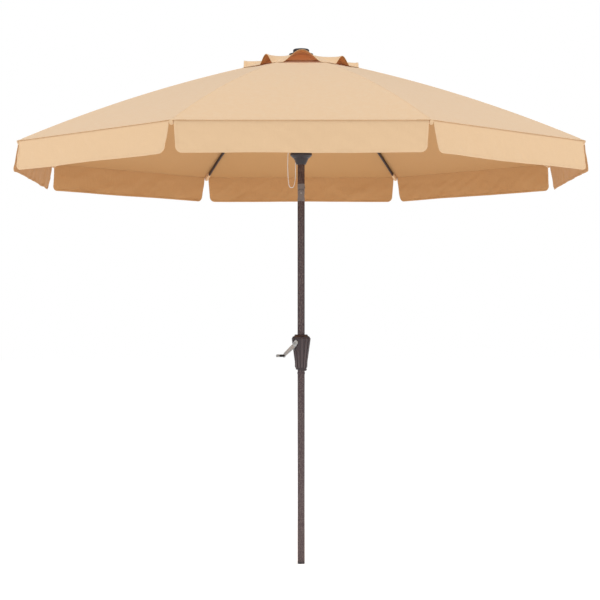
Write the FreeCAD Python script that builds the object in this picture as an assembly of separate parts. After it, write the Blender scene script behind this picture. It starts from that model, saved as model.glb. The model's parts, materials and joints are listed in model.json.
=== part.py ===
import FreeCAD, Part
import math
import os

# Crank-lift patio umbrella: an eight-rib canopy on a tilting mast. Millimetres, +Z up.
# The origin is the centre of the pole's foot. Ribs stand at half-step azimuths, so that
# a flat panel of the canopy faces each of -Y, +X, +Y and -X.

# --- driving sizes: canopy ---
RIB_COUNT = 8
CANOPY_RADIUS = 1520.0  # axis to the rim's corners
CANOPY_ARC = 7600.0  # radius of the arc that the fabric follows along a rib
CROWN_SLOPE = 12.5838  # degrees, where that arc meets the pole's axis
CROWN_RISE = 14.77  # from the hub's pivots up to there
FABRIC = 1.0
VENT_HOLE_RADIUS = 200.0  # corner radius of the opening under the vent cap
VENT_CAP_RADIUS = 326.0
VENT_CAP_INNER = 52.0
VENT_CAP_RISE = 9.0  # above the hub's crown
VENT_ARCH_WIDTH = 168.0
VENT_ARCH_HEIGHT = 42.0
VALANCE_DROP = 145.0
VALANCE_CORNER_GAP = 14.0  # half the gap between two flaps, at the rim
VALANCE_TAPER = 11.0  # how much further apart the flaps are at the bottom, each
VALANCE_ROUND = 20.0
SEAM_GAP = 0.4  # half the space between neighbouring pieces of fabric
RIM_GAP = 1.0  # the valance hangs this far under the rim

# --- driving sizes: ribs and stretchers ---
RIB_WIDTH = 11.0
RIB_DEPTH = 18.0
RIB_WALL = 0.7
RIB_END_GAP = 30.0  # from a corner of the rim back to the end of the tube
RIB_TIP_LENGTH = 16.0
RIB_FABRIC_GAP = 2.0
STRETCHER_WIDTH = 9.0
STRETCHER_DEPTH = 14.0
STRETCHER_WALL = 0.7
LINK_LENGTH = 680.0  # hub to joint along the rib, and joint to runner
LINK_ANGLE = 20.0  # degrees below level, with the canopy open
PIVOT_RADIUS = 44.0  # axis to the ring wires
WIRE_RADIUS = 1.5
TONGUE = 5.0  # thickness of each flat end on a ring wire
TONGUE_EYE = 6.0
JOINT_EYE = 8.0
JOINT_PIN_RADIUS = 2.5
JOINT_SIDE_FIT = 1.6  # stretcher's end between the bracket's plates, each side
BRACKET_PLATE = 2.0
END_STANDOFF = 26.0  # ring wire to the start of a tube
BRACKET_STANDOFF = 16.0  # joint pin to the start of a stretcher's tube
RIVET_RADIUS = 2.0

# --- driving sizes: pole, hub and runner ---
POLE_RADIUS = 19.0
POLE_WALL = 1.5
FOOT_CAP_HEIGHT = 12.0
LOWER_POLE_TOP = 1004.0
JOINT_RING_HEIGHT = 8.0
JOINT_RING_PROUD = 1.5
MIDDLE_POLE_LENGTH = 903.7
UPPER_POLE_LENGTH = 642.3
COUPLER_REACH = 74.0
SLEEVE_WALL = 1.5
CROWN_RIM = 8.0  # from the ring wires out to the crowns' edges
SLOT_DEPTH = 10.0  # from the ring wires in to the floors of the tongues' slots
HUB_NECK_RADIUS = 25.0
HUB_NECK_REACH = 54.0  # how far the hub reaches down the pole
HUB_PIVOT_RISE = 18.0  # above the end of the pole
HUB_CROWN_HALF = 12.0  # from the pivots to the crown's top or underside
FINIAL_HEIGHT = 40.0  # above the hub's crown
FINIAL_BRIM = 63.5
FINIAL_CAP = 42.5
RUNNER_DEPTH = 92.85  # from the pivots down to its lower end
RUNNER_NOSE_WALL = 5.0
RUNNER_FLANGE_PROUD = 5.5  # past the crown

# --- driving sizes: tilt joint ---
TILT_BASE = 23.3  # height of the solid band under the pivot's barrel
TILT_HEAD = 28.2  # height of the band above the parting plane
TILT_PARTING = 2.5  # barrel to the parting plane
TILT_PIN_RADIUS = 3.5
TILT_TONGUE = 15.0
TILT_SPIGOT = 50.0
TILT_HOLLOW_RADIUS = 14.0
BUTTON_RADIUS = 4.5
BUTTON_RISE = 9.5  # above the parting plane
BUTTON_PROUD = 2.0
BUTTON_FLANGE_RADIUS = 6.0
BUTTON_FLANGE_BACK = 11.2  # axis to the flange's inner face
BUTTON_FLANGE_FRONT = 13.2

# --- driving sizes: crank lift ---
HOUSING_RISE = 8.0  # above the pole's joint ring
HOUSING_HEIGHT = 192.0
HOUSING_RADIUS = 47.5
HOUSING_FOOT = 9.0  # from the pole out to the foot's edge
HOUSING_WALL = 3.0
CRANK_DROP = 49.0  # below the housing's top
CRANK_AZIMUTH = 225.0
CRANK_SHAFT_RADIUS = 4.0
CRANK_FACE_DEPTH = 7.5  # from the housing's edge in to the floor of its round recess
RECESS_RADIUS = 24.5
CRANK_REACH = 82.6
CRANK_REST_ANGLE = 40.3  # degrees from straight down
CRANK_BEND = 28.0  # how far the arm leans out
ARM_THICKNESS = 6.0
ARM_HALF_WIDTH = 12.0
ARM_END_WIDTH = 8.0  # half the width, at the grip
GRIP_LENGTH = 50.0
GRIP_RADIUS = 6.8
GRIP_PIN_RADIUS = 2.5
DRUM_CORE = 6.5
DRUM_FLANGE = 14.5
DRUM_LENGTH = 18.0
BRAKE_HUB_RADIUS = 8.0
BRAKE_WIRE = 0.8  # radius

# --- driving sizes: cords ---
LIFT_CORD_RADIUS = 1.5
LIFT_CORD_OFFSET = 9.0  # from the axis, inside the pole
PULLEY_PITCH = 10.5
AXLE_RADIUS = 2.0
PULLEY_DROP = 18.0  # below the end of the pole
LOOP_CORD_RADIUS = 2.0

# --- clearances ---
SLIDE_FIT = 0.6  # runner on the pole
RUNNING_FIT = 0.08  # pin in its eye
WIRE_FIT = 0.2  # a straight eye on a curved wire
SIDE_FIT = 0.4  # tongue in its slot, each side
PRESS_FIT = 0.1  # plug in a tube

# --- worked out from the driving sizes ---
STEP = 360.0 / RIB_COUNT
HALF_STEP = STEP / 2
PANEL_RATIO = math.cos(math.radians(HALF_STEP))
PANEL_TAN = math.tan(math.radians(HALF_STEP))
POLE_BORE = POLE_RADIUS - POLE_WALL
SPIGOT_RADIUS = POLE_BORE - PRESS_FIT
JOINT_RING_RADIUS = POLE_RADIUS + JOINT_RING_PROUD
MIDDLE_POLE_BOTTOM = LOWER_POLE_TOP + JOINT_RING_HEIGHT
HOUSING_BOTTOM = MIDDLE_POLE_BOTTOM + HOUSING_RISE
HOUSING_TOP = HOUSING_BOTTOM + HOUSING_HEIGHT
CRANK_HEIGHT = HOUSING_TOP - CRANK_DROP
CRANK_FACE = HOUSING_RADIUS - CRANK_FACE_DEPTH
TILT_BAND_BOTTOM = MIDDLE_POLE_BOTTOM + MIDDLE_POLE_LENGTH
TILT_PIVOT = TILT_BAND_BOTTOM + TILT_BASE + POLE_RADIUS
TILT_TOP_PLANE = TILT_PIVOT + POLE_RADIUS + TILT_PARTING
BUTTON_HEIGHT = TILT_TOP_PLANE + BUTTON_RISE
TILT_BAND_TOP = TILT_TOP_PLANE + TILT_HEAD
UPPER_POLE_TOP = TILT_BAND_TOP + UPPER_POLE_LENGTH
PULLEY_HEIGHT = UPPER_POLE_TOP - PULLEY_DROP
HUB_NECK_BOTTOM = UPPER_POLE_TOP - HUB_NECK_REACH
HUB_PIVOT_HEIGHT = UPPER_POLE_TOP + HUB_PIVOT_RISE
HUB_CROWN_BOTTOM = HUB_PIVOT_HEIGHT - HUB_CROWN_HALF
HUB_CROWN_TOP = HUB_PIVOT_HEIGHT + HUB_CROWN_HALF
FINIAL_TOP = HUB_CROWN_TOP + FINIAL_HEIGHT
VENT_CAP_TOP = HUB_CROWN_TOP + VENT_CAP_RISE
CROWN_RADIUS = PIVOT_RADIUS + CROWN_RIM
SLOT_FLOOR_RADIUS = PIVOT_RADIUS - SLOT_DEPTH
LINK_RISE = LINK_LENGTH * math.sin(math.radians(LINK_ANGLE))
JOINT_RADIUS = PIVOT_RADIUS + LINK_LENGTH * math.cos(math.radians(LINK_ANGLE))
JOINT_HEIGHT = HUB_PIVOT_HEIGHT - LINK_RISE
RUNNER_PIVOT_HEIGHT = JOINT_HEIGHT - LINK_RISE
RUNNER_NOSE = RUNNER_PIVOT_HEIGHT - RUNNER_DEPTH
RUNNER_FLANGE_RADIUS = CROWN_RADIUS + RUNNER_FLANGE_PROUD
JOINT_TONGUE = RIB_WIDTH + 2 * PRESS_FIT - 2 * JOINT_SIDE_FIT
RIB_END_RADIUS = CANOPY_RADIUS - RIB_END_GAP
RIB_ARC = CANOPY_ARC - FABRIC - RIB_FABRIC_GAP - RIB_DEPTH / 2
ARC_CENTRE_R = -CANOPY_ARC * math.sin(math.radians(CROWN_SLOPE))
ARC_CENTRE_Z = (
    HUB_PIVOT_HEIGHT + CROWN_RISE - CANOPY_ARC * math.cos(math.radians(CROWN_SLOPE))
)
EYE_HOLE = WIRE_RADIUS + WIRE_FIT
SLOT_WIDTH = TONGUE + 2 * SIDE_FIT
CORD_X = -LIFT_CORD_OFFSET
OUTER_CORD_X = CORD_X - 2 * PULLEY_PITCH

UP = FreeCAD.Vector(0, 0, 1)
ALONG_X = FreeCAD.Vector(1, 0, 0)
ALONG_Y = FreeCAD.Vector(0, 1, 0)
ORIGIN = FreeCAD.Vector(0, 0, 0)
ARC_CENTRE = FreeCAD.Vector(ARC_CENTRE_R, 0, ARC_CENTRE_Z)
CRANK_OUT = FreeCAD.Vector(
    math.cos(math.radians(CRANK_AZIMUTH)), math.sin(math.radians(CRANK_AZIMUTH)), 0
)


# --- general shapes ---
def vec(x, y, z):
    return FreeCAD.Vector(x, y, z)


def rod(radius, start, end):
    """A solid round bar between two points."""
    direction = end - start
    return Part.makeCylinder(radius, direction.Length, start, direction)


def rod_y(radius, half_length, x, z):
    """A solid round bar along Y, centred on the XZ plane."""
    return rod(radius, vec(x, -half_length, z), vec(x, half_length, z))


def tube(outer, inner, low, high):
    """A round tube on the pole's axis."""
    body = Part.makeCylinder(outer, high - low, vec(0, 0, low))
    return body.cut(Part.makeCylinder(inner, high - low + 2, vec(0, 0, low - 1)))


def block(low, high):
    """A box between two corners."""
    size = high - low
    return Part.makeBox(size.x, size.y, size.z, low)


def turned(profile):
    """A solid turned about the pole's axis from (radius, height) corners."""
    corners = [vec(radius, 0, height) for radius, height in profile]
    face = Part.Face(Part.makePolygon(corners + corners[:1]))
    return face.revolve(ORIGIN, UP, 360)


def flat_plate(outline, thickness, centre_y=0.0):
    """A flat plate of this (x, z) outline, its thickness along Y."""
    corners = [vec(x, centre_y - thickness / 2, z) for x, z in outline]
    face = Part.Face(Part.makePolygon(corners + corners[:1]))
    return face.extrude(vec(0, thickness, 0))


def oval(width, depth):
    """A wire with straight sides and round ends, in the YZ plane about the origin."""
    end = width / 2
    side = depth / 2 - end
    top = Part.Arc(vec(0, -end, side), vec(0, 0, side + end), vec(0, end, side))
    bottom = Part.Arc(vec(0, end, -side), vec(0, 0, -side - end), vec(0, -end, -side))
    right = Part.LineSegment(vec(0, end, side), vec(0, end, -side))
    left = Part.LineSegment(vec(0, -end, -side), vec(0, -end, side))
    return Part.Wire([edge.toShape() for edge in (top, right, bottom, left)])


def helix_spring(wire_radius, mean_radius, length, turns, start, direction):
    """A coil spring from start along direction, with open ends."""
    free = length - 2 * wire_radius
    path = Part.makeHelix(free / turns, free, mean_radius)
    section = Part.Wire(
        Part.makeCircle(wire_radius, vec(mean_radius, 0, 0), vec(0, 1, free / turns / 8))
    )
    spring = Part.Wire(path.Edges).makePipeShell([section], True, True)
    spring.translate(vec(0, 0, wire_radius))
    spring.Placement = FreeCAD.Placement(
        start, FreeCAD.Rotation(UP, direction)
    ).multiply(spring.Placement)
    return spring


def around(shape, index):
    """A copy of a rib-plane shape at the azimuth of this rib."""
    copy = shape.copy()
    copy.rotate(ORIGIN, UP, HALF_STEP + index * STEP)
    return copy


def toward_crank(shape):
    """A copy of a shape made along +X, turned to the crank's azimuth."""
    copy = shape.copy()
    copy.rotate(ORIGIN, UP, CRANK_AZIMUTH)
    return copy


def group(shapes):
    """Separate solids of one node, together."""
    solids = [solid for shape in shapes for solid in shape.Solids]
    return Part.makeCompound(solids)


# --- arc along a rib ---
def arc_height(radius, arc):
    """Height of the arc of this radius, this far from the pole's axis."""
    return ARC_CENTRE_Z + math.sqrt(arc**2 - (radius - ARC_CENTRE_R) ** 2)


def arc_angle(radius, arc):
    return math.degrees(math.asin((radius - ARC_CENTRE_R) / arc))


def along_rib(wire, first, last):
    """The solid that a section sweeps along the rib's arc between two distances."""
    section = Part.Face(wire)
    section.translate(vec(ARC_CENTRE_R, 0, ARC_CENTRE_Z + RIB_ARC))
    start = arc_angle(first, RIB_ARC)
    section.rotate(ARC_CENTRE, ALONG_Y, start)
    return section.revolve(ARC_CENTRE, ALONG_Y, arc_angle(last, RIB_ARC) - start)


# --- rib, in its own plane (XZ) ---
def rib_rivets():
    """The two rivets of the drop bracket and the pin of its stretcher."""
    half = RIB_WIDTH / 2 + PRESS_FIT + BRACKET_PLATE + 1.0
    places = [JOINT_RADIUS - 15, JOINT_RADIUS + 15]
    rivets = [rod_y(RIVET_RADIUS, half, x, arc_height(x, RIB_ARC)) for x in places]
    rivets.append(rod_y(JOINT_PIN_RADIUS, half, JOINT_RADIUS, JOINT_HEIGHT))
    return rivets


def rib_tube(rivets):
    start = PIVOT_RADIUS + END_STANDOFF
    inner = oval(RIB_WIDTH - 2 * RIB_WALL, RIB_DEPTH - 2 * RIB_WALL)
    body = along_rib(oval(RIB_WIDTH, RIB_DEPTH), start, RIB_END_RADIUS)
    body = body.cut(along_rib(inner, start - 5, RIB_END_RADIUS + 5))
    for rivet in rivets[:2]:
        body = body.cut(rivet)
    return body


def rib_root(start):
    """The flat tongue and its eye on the hub's ring wire, with the plug in the tube."""
    trim = 2 * (RIB_WALL + PRESS_FIT)
    plug = along_rib(oval(RIB_WIDTH - trim, RIB_DEPTH - trim), start, start + 34)
    height = arc_height(start, RIB_ARC)
    outline = [
        (PIVOT_RADIUS, HUB_PIVOT_HEIGHT + TONGUE_EYE),
        (start + 6, height + 5),
        (start + 6, height - 8),
        (PIVOT_RADIUS, HUB_PIVOT_HEIGHT - TONGUE_EYE),
    ]
    tongue = flat_plate(outline, TONGUE)
    eye = rod_y(TONGUE_EYE, TONGUE / 2, PIVOT_RADIUS, HUB_PIVOT_HEIGHT)
    hole = rod_y(EYE_HOLE, TONGUE, PIVOT_RADIUS, HUB_PIVOT_HEIGHT)
    return plug.fuse([tongue, eye]).cut(hole).removeSplitter()


def rib_bracket(rivets):
    """Two plates that hang the stretcher's joint below the rib."""
    gap = RIB_WIDTH + 2 * PRESS_FIT
    reach = 24.0
    left, right = JOINT_RADIUS - reach, JOINT_RADIUS + reach
    outline = [
        (left, arc_height(left, RIB_ARC) + 4),
        (right, arc_height(right, RIB_ARC) + 4),
        (right, arc_height(right, RIB_ARC) - RIB_DEPTH / 2),
        (JOINT_RADIUS + JOINT_EYE, JOINT_HEIGHT),
        (JOINT_RADIUS - JOINT_EYE, JOINT_HEIGHT),
        (left, arc_height(left, RIB_ARC) - RIB_DEPTH / 2),
    ]
    plates = []
    for side in (-1, 1):
        centre = side * (gap + BRACKET_PLATE) / 2
        plate = flat_plate(outline, BRACKET_PLATE, centre)
        eye = rod_y(JOINT_EYE, BRACKET_PLATE / 2, JOINT_RADIUS, JOINT_HEIGHT)
        eye.translate(vec(0, centre, 0))
        plate = plate.fuse(eye)
        for rivet in rivets:
            plate = plate.cut(rivet)
        plates.append(plate.removeSplitter())
    return plates


def rib_tip():
    """A plastic tip that plugs the tube's outer end and sits in the canopy's pocket."""
    end = RIB_END_RADIUS + RIB_TIP_LENGTH
    trim = 2 * (RIB_WALL + PRESS_FIT)
    plug = along_rib(oval(RIB_WIDTH - trim, RIB_DEPTH - trim), RIB_END_RADIUS - 25, end - 4)
    cap = along_rib(oval(RIB_WIDTH, RIB_DEPTH), RIB_END_RADIUS, end - 5)
    nose = along_rib(oval(RIB_WIDTH - 3, RIB_DEPTH - 3), end - 6, end)
    return plug.fuse([cap, nose]).removeSplitter()


def rib():
    rivets = rib_rivets()
    root = rib_root(PIVOT_RADIUS + END_STANDOFF)
    return group([rib_tube(rivets), root, rib_tip()] + rib_bracket(rivets) + rivets)


# --- stretcher, made level from the runner's ring wire and then tipped up ---
def stretcher():
    tube_end = LINK_LENGTH - BRACKET_STANDOFF
    outer = Part.Face(oval(STRETCHER_WIDTH, STRETCHER_DEPTH))
    trim = 2 * STRETCHER_WALL
    inner = Part.Face(oval(STRETCHER_WIDTH - trim, STRETCHER_DEPTH - trim))
    outer.translate(vec(END_STANDOFF, 0, 0))
    inner.translate(vec(END_STANDOFF - 1, 0, 0))
    length = tube_end - END_STANDOFF
    body = outer.extrude(vec(length, 0, 0)).cut(inner.extrude(vec(length + 2, 0, 0)))
    trim += 2 * PRESS_FIT
    plug = Part.Face(oval(STRETCHER_WIDTH - trim, STRETCHER_DEPTH - trim))
    parts = [body]
    ends = [(0.0, 1, TONGUE, TONGUE_EYE, EYE_HOLE, END_STANDOFF)]
    pin_hole = JOINT_PIN_RADIUS + RUNNING_FIT
    ends.append((LINK_LENGTH, -1, JOINT_TONGUE, JOINT_EYE, pin_hole, BRACKET_STANDOFF))
    for x, side, thickness, eye_radius, hole_radius, standoff in ends:
        flat = min(thickness, STRETCHER_WIDTH - trim)
        insert = plug.copy()
        insert.translate(vec(x + side * (standoff - 2), 0, 0))
        insert = insert.extrude(vec(side * 30, 0, 0))
        neck = [(x, eye_radius - 1), (x + side * (standoff - 0.3), 5)]
        outline = neck + [(px, -pz) for px, pz in reversed(neck)]
        fitting = insert.fuse(
            [flat_plate(outline, flat), rod_y(eye_radius, thickness / 2, x, 0)]
        )
        hole = rod_y(hole_radius, thickness, x, 0)
        parts.append(fitting.cut(hole).removeSplitter())
    link = group(parts)
    link.rotate(ORIGIN, ALONG_Y, -LINK_ANGLE)
    link.translate(vec(PIVOT_RADIUS, 0, RUNNER_PIVOT_HEIGHT))
    return link


# --- canopy fabric ---
def fabric_strip(top_line):
    """Half a panel's sheet beside the rib at azimuth 0, below this line of (x, z) points.

    The line lies in the panel's middle plane; the sheet runs level from there to the rib.
    """
    under_line = [(x, z - FABRIC) for x, z in top_line]
    edges = []
    for line in (top_line, list(reversed(under_line))):
        curve = Part.BSplineCurve()
        curve.interpolate([vec(x, -SEAM_GAP, z) for x, z in line])
        edges.append(curve)
    first = Part.LineSegment(edges[0].EndPoint, edges[1].StartPoint)
    last = Part.LineSegment(edges[1].EndPoint, edges[0].StartPoint)
    wire = Part.Wire([e.toShape() for e in (edges[0], first, edges[1], last)])
    reach = top_line[-1][0] + 10
    sheet = Part.Face(wire).extrude(vec(0, -reach * PANEL_TAN, 0))
    low = top_line[-1][1] - 10
    wedge = [vec(0, 0, low), vec(reach, 0, low), vec(reach, -reach * PANEL_TAN, low)]
    tall = top_line[0][1] - low + 10
    corner = Part.Face(Part.makePolygon(wedge + wedge[:1])).extrude(vec(0, 0, tall))
    return sheet.common(corner)


def main_panel_line():
    """The panel's middle line: the rib's arc, seen across the flat of the panel."""
    points = 9
    step = (CANOPY_RADIUS - VENT_HOLE_RADIUS) / (points - 1)
    radii = [VENT_HOLE_RADIUS + i * step for i in range(points)]
    return [(radius * PANEL_RATIO, arc_height(radius, CANOPY_ARC)) for radius in radii]


def vent_cap_panel():
    """The vent cap's half panel, with half of its arched opening."""
    foot = arc_height(VENT_CAP_RADIUS, CANOPY_ARC)
    middle_radius = (VENT_CAP_INNER + VENT_CAP_RADIUS) / 2
    line = [
        (VENT_CAP_INNER * PANEL_RATIO, VENT_CAP_TOP),
        (middle_radius * PANEL_RATIO, (VENT_CAP_TOP + foot) / 2 + 3),
        (VENT_CAP_RADIUS * PANEL_RATIO, foot),
    ]
    cap = fabric_strip(line)
    half = VENT_ARCH_WIDTH / 2
    bulge = (half**2 + VENT_ARCH_HEIGHT**2) / (2 * VENT_ARCH_HEIGHT)
    inside = VENT_CAP_RADIUS * PANEL_RATIO - 3 * VENT_ARCH_HEIGHT
    sill = foot - bulge + VENT_ARCH_HEIGHT
    arch = rod(bulge, vec(inside, 0, sill), vec(VENT_CAP_RADIUS + 50, 0, sill))
    keep = block(vec(0, -half, foot - 3), vec(VENT_CAP_RADIUS + 50, half, foot + half))
    return cap.cut(arch.common(keep))


def canopy_gore():
    """The fabric either side of one rib, to the middle of the two panels beside it."""
    half = fabric_strip(main_panel_line()).fuse(vent_cap_panel())
    half.rotate(ORIGIN, UP, HALF_STEP)
    return half.fuse(half.mirror(ORIGIN, ALONG_Y)).removeSplitter()


def valance_flap():
    """The two half flaps beside one corner of the rim."""
    outer = CANOPY_RADIUS * PANEL_RATIO
    top = arc_height(CANOPY_RADIUS, CANOPY_ARC) - FABRIC - RIM_GAP
    bottom = top - VALANCE_DROP
    side = outer * PANEL_TAN - VALANCE_CORNER_GAP
    low_side = side - VALANCE_TAPER
    bend = VALANCE_ROUND * (1 - math.sqrt(0.5))
    round_start = vec(outer, -low_side, bottom + VALANCE_ROUND)
    round_end = vec(outer, -low_side + VALANCE_ROUND, bottom)
    round_middle = vec(outer, -low_side + bend, bottom + bend)
    edges = [
        Part.LineSegment(vec(outer, -SEAM_GAP, top), vec(outer, -side, top)),
        Part.LineSegment(vec(outer, -side, top), round_start),
        Part.Arc(round_start, round_middle, round_end),
        Part.LineSegment(round_end, vec(outer, -SEAM_GAP, bottom)),
        Part.LineSegment(vec(outer, -SEAM_GAP, bottom), vec(outer, -SEAM_GAP, top)),
    ]
    wire = Part.Wire([edge.toShape() for edge in edges])
    half = Part.Face(wire).extrude(vec(-FABRIC, 0, 0))
    half.rotate(ORIGIN, UP, HALF_STEP)
    return group([half, half.mirror(ORIGIN, ALONG_Y)])


# --- top hub, runner and their ring wires ---
def ring_wire(height):
    return Part.makeTorus(PIVOT_RADIUS, WIRE_RADIUS, vec(0, 0, height))


def cut_slots_and_groove(body, pivot_height, slot_low, slot_high):
    """Cut the crown's groove for the ring wire and its slot for each rib's tongue."""
    half = WIRE_RADIUS + PRESS_FIT
    outer = Part.makeCylinder(PIVOT_RADIUS + half, 60, vec(0, 0, pivot_height - half))
    inner = Part.makeCylinder(PIVOT_RADIUS - half, 62, vec(0, 0, pivot_height - half - 1))
    body = body.cut(outer.cut(inner))
    slot = block(
        vec(SLOT_FLOOR_RADIUS, -SLOT_WIDTH / 2, slot_low),
        vec(CROWN_RADIUS + 5, SLOT_WIDTH / 2, slot_high),
    )
    for index in range(RIB_COUNT):
        body = body.cut(around(slot, index))
    return body


def pulley_opening(margin):
    """The space for the pulley in the mast's wall, on the cord's side."""
    half = 4.0 + margin
    return block(
        vec(-HUB_NECK_RADIUS - 15, -half, PULLEY_HEIGHT - 16),
        vec(-4, half, PULLEY_HEIGHT + 15),
    )


def pulley_axle_place():
    return vec(CORD_X - PULLEY_PITCH, 0, PULLEY_HEIGHT)


def top_hub():
    neck_bore = POLE_RADIUS + PRESS_FIT
    profile = [
        (neck_bore, HUB_NECK_BOTTOM),
        (HUB_NECK_RADIUS - 1.5, HUB_NECK_BOTTOM),
        (HUB_NECK_RADIUS, HUB_NECK_BOTTOM + 1.5),
        (HUB_NECK_RADIUS, HUB_CROWN_BOTTOM - 4),
        (HUB_NECK_RADIUS + 4, HUB_CROWN_BOTTOM),
        (CROWN_RADIUS - 2, HUB_CROWN_BOTTOM),
        (CROWN_RADIUS, HUB_CROWN_BOTTOM + 2),
        (CROWN_RADIUS, HUB_CROWN_TOP - 2),
        (CROWN_RADIUS - 2, HUB_CROWN_TOP),
        (12, HUB_CROWN_TOP),
        (12, HUB_CROWN_TOP + 4),
        (0, HUB_CROWN_TOP + 4),
        (0, UPPER_POLE_TOP + PRESS_FIT),
        (neck_bore, UPPER_POLE_TOP + PRESS_FIT),
    ]
    body = cut_slots_and_groove(
        turned(profile), HUB_PIVOT_HEIGHT, HUB_CROWN_BOTTOM - 5, HUB_CROWN_TOP + 5
    )
    axle = pulley_axle_place()
    body = body.cut(pulley_opening(0))
    body = body.cut(rod_y(AXLE_RADIUS, 60, axle.x, axle.z))
    return group([body, rod_y(AXLE_RADIUS - 0.02, 11, axle.x, axle.z)])


def pulley():
    """A grooved wheel on its axle, its axis along Y."""
    axle = pulley_axle_place()
    rim = PULLEY_PITCH + 2.0
    groove = PULLEY_PITCH - LIFT_CORD_RADIUS - 0.3
    half = 3.4
    outline = [(AXLE_RADIUS + RUNNING_FIT, -half), (rim, -half), (rim, -half + 0.4)]
    outline += [(groove, -LIFT_CORD_RADIUS - 0.3)]
    outline += [(radius, -side) for radius, side in reversed(outline)]
    corners = [vec(radius, side, 0) for radius, side in outline]
    wheel = Part.Face(Part.makePolygon(corners + corners[:1]))
    wheel = wheel.revolve(ORIGIN, ALONG_Y, 360)
    wheel.translate(axle)
    return wheel


def finial():
    profile = [
        (0, HUB_CROWN_TOP + 4),
        (9, HUB_CROWN_TOP + 4),
        (9, FINIAL_TOP - 28),
        (FINIAL_BRIM - 1, FINIAL_TOP - 28),
        (FINIAL_BRIM, FINIAL_TOP - 27),
        (FINIAL_BRIM, FINIAL_TOP - 25),
        (FINIAL_CAP + 6, FINIAL_TOP - 21),
        (FINIAL_CAP, FINIAL_TOP - 19),
        (FINIAL_CAP, FINIAL_TOP - 4),
        (FINIAL_CAP - 4, FINIAL_TOP),
        (0, FINIAL_TOP),
    ]
    return turned(profile)


def upper_pole():
    pole = tube(POLE_RADIUS, POLE_BORE, TILT_BAND_TOP, UPPER_POLE_TOP)
    axle = pulley_axle_place()
    return pole.cut(pulley_opening(0.2)).cut(rod_y(AXLE_RADIUS, 60, axle.x, axle.z))


def runner():
    """The sliding collar: nose, flange, and a slotted crown for the stretchers."""
    bore = POLE_RADIUS + SLIDE_FIT
    crown_top = RUNNER_PIVOT_HEIGHT + 5
    profile = [
        (bore, RUNNER_NOSE),
        (POLE_RADIUS + RUNNER_NOSE_WALL, RUNNER_NOSE),
        (CROWN_RADIUS - 12.5, RUNNER_NOSE + 33),
        (CROWN_RADIUS - 7, RUNNER_NOSE + 36),
        (RUNNER_FLANGE_RADIUS, RUNNER_NOSE + 48),
        (RUNNER_FLANGE_RADIUS, RUNNER_NOSE + 59),
        (RUNNER_FLANGE_RADIUS - 2, RUNNER_NOSE + 61),
        (CROWN_RADIUS, RUNNER_NOSE + 61),
        (CROWN_RADIUS, crown_top - 2),
        (CROWN_RADIUS - 2, crown_top),
        (bore, crown_top),
    ]
    body = cut_slots_and_groove(
        turned(profile), RUNNER_PIVOT_HEIGHT, RUNNER_PIVOT_HEIGHT - 9, crown_top + 5
    )
    keyway_depth = POLE_RADIUS + BUTTON_PROUD + 0.8
    keyway = block(
        vec(POLE_RADIUS - 5, -BUTTON_RADIUS - 1.5, RUNNER_NOSE - 5),
        vec(keyway_depth, BUTTON_RADIUS + 1.5, crown_top + 5),
    )
    cord_hole = rod(LOOP_CORD_RADIUS + 0.6, *cord_hole_ends())
    return body.cut(keyway).cut(cord_hole)


def cord_hole_ends():
    """The lift cord's hole straight down through the runner."""
    return (
        vec(OUTER_CORD_X, 0, RUNNER_NOSE - 5),
        vec(OUTER_CORD_X, 0, RUNNER_PIVOT_HEIGHT + 20),
    )


# --- pole ---
def foot_plug():
    cap = Part.makeCylinder(POLE_RADIUS, FOOT_CAP_HEIGHT)
    plug = Part.makeCylinder(SPIGOT_RADIUS, FOOT_CAP_HEIGHT + 34)
    hollow = Part.makeCylinder(SPIGOT_RADIUS - 2.5, 60, vec(0, 0, FOOT_CAP_HEIGHT - 4))
    return cap.fuse(plug).cut(hollow).removeSplitter()


def pole_coupler():
    """The sleeve inside both halves of the pole, with its outside ring."""
    low = LOWER_POLE_TOP - COUPLER_REACH
    high = MIDDLE_POLE_BOTTOM + COUPLER_REACH
    sleeve = tube(SPIGOT_RADIUS, SPIGOT_RADIUS - SLEEVE_WALL, low, high)
    ring = tube(JOINT_RING_RADIUS, SPIGOT_RADIUS - 1, LOWER_POLE_TOP, MIDDLE_POLE_BOTTOM)
    return sleeve.fuse(ring).removeSplitter()


def shaft_hole(radius):
    """A straight hole through both walls of the pole at the crank's height."""
    reach = CRANK_OUT * (POLE_RADIUS + 5)
    centre = vec(0, 0, CRANK_HEIGHT)
    return rod(radius, centre - reach, centre + reach)


def middle_pole():
    pole = tube(POLE_RADIUS, POLE_BORE, MIDDLE_POLE_BOTTOM, TILT_BAND_BOTTOM)
    return pole.cut(shaft_hole(CRANK_SHAFT_RADIUS + 0.5))


# --- tilt joint ---
def tilt_ears_space():
    """The slot between the lower body's ears, a little wider than the tongue."""
    half = TILT_TONGUE / 2 + SIDE_FIT
    floor = TILT_PIVOT - POLE_RADIUS - 2.0
    return block(vec(-30, -half, floor), vec(30, half, TILT_PIVOT + 40))


def cord_hole(radius, low, high):
    return rod(radius, vec(CORD_X, 0, low), vec(CORD_X, 0, high))


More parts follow.
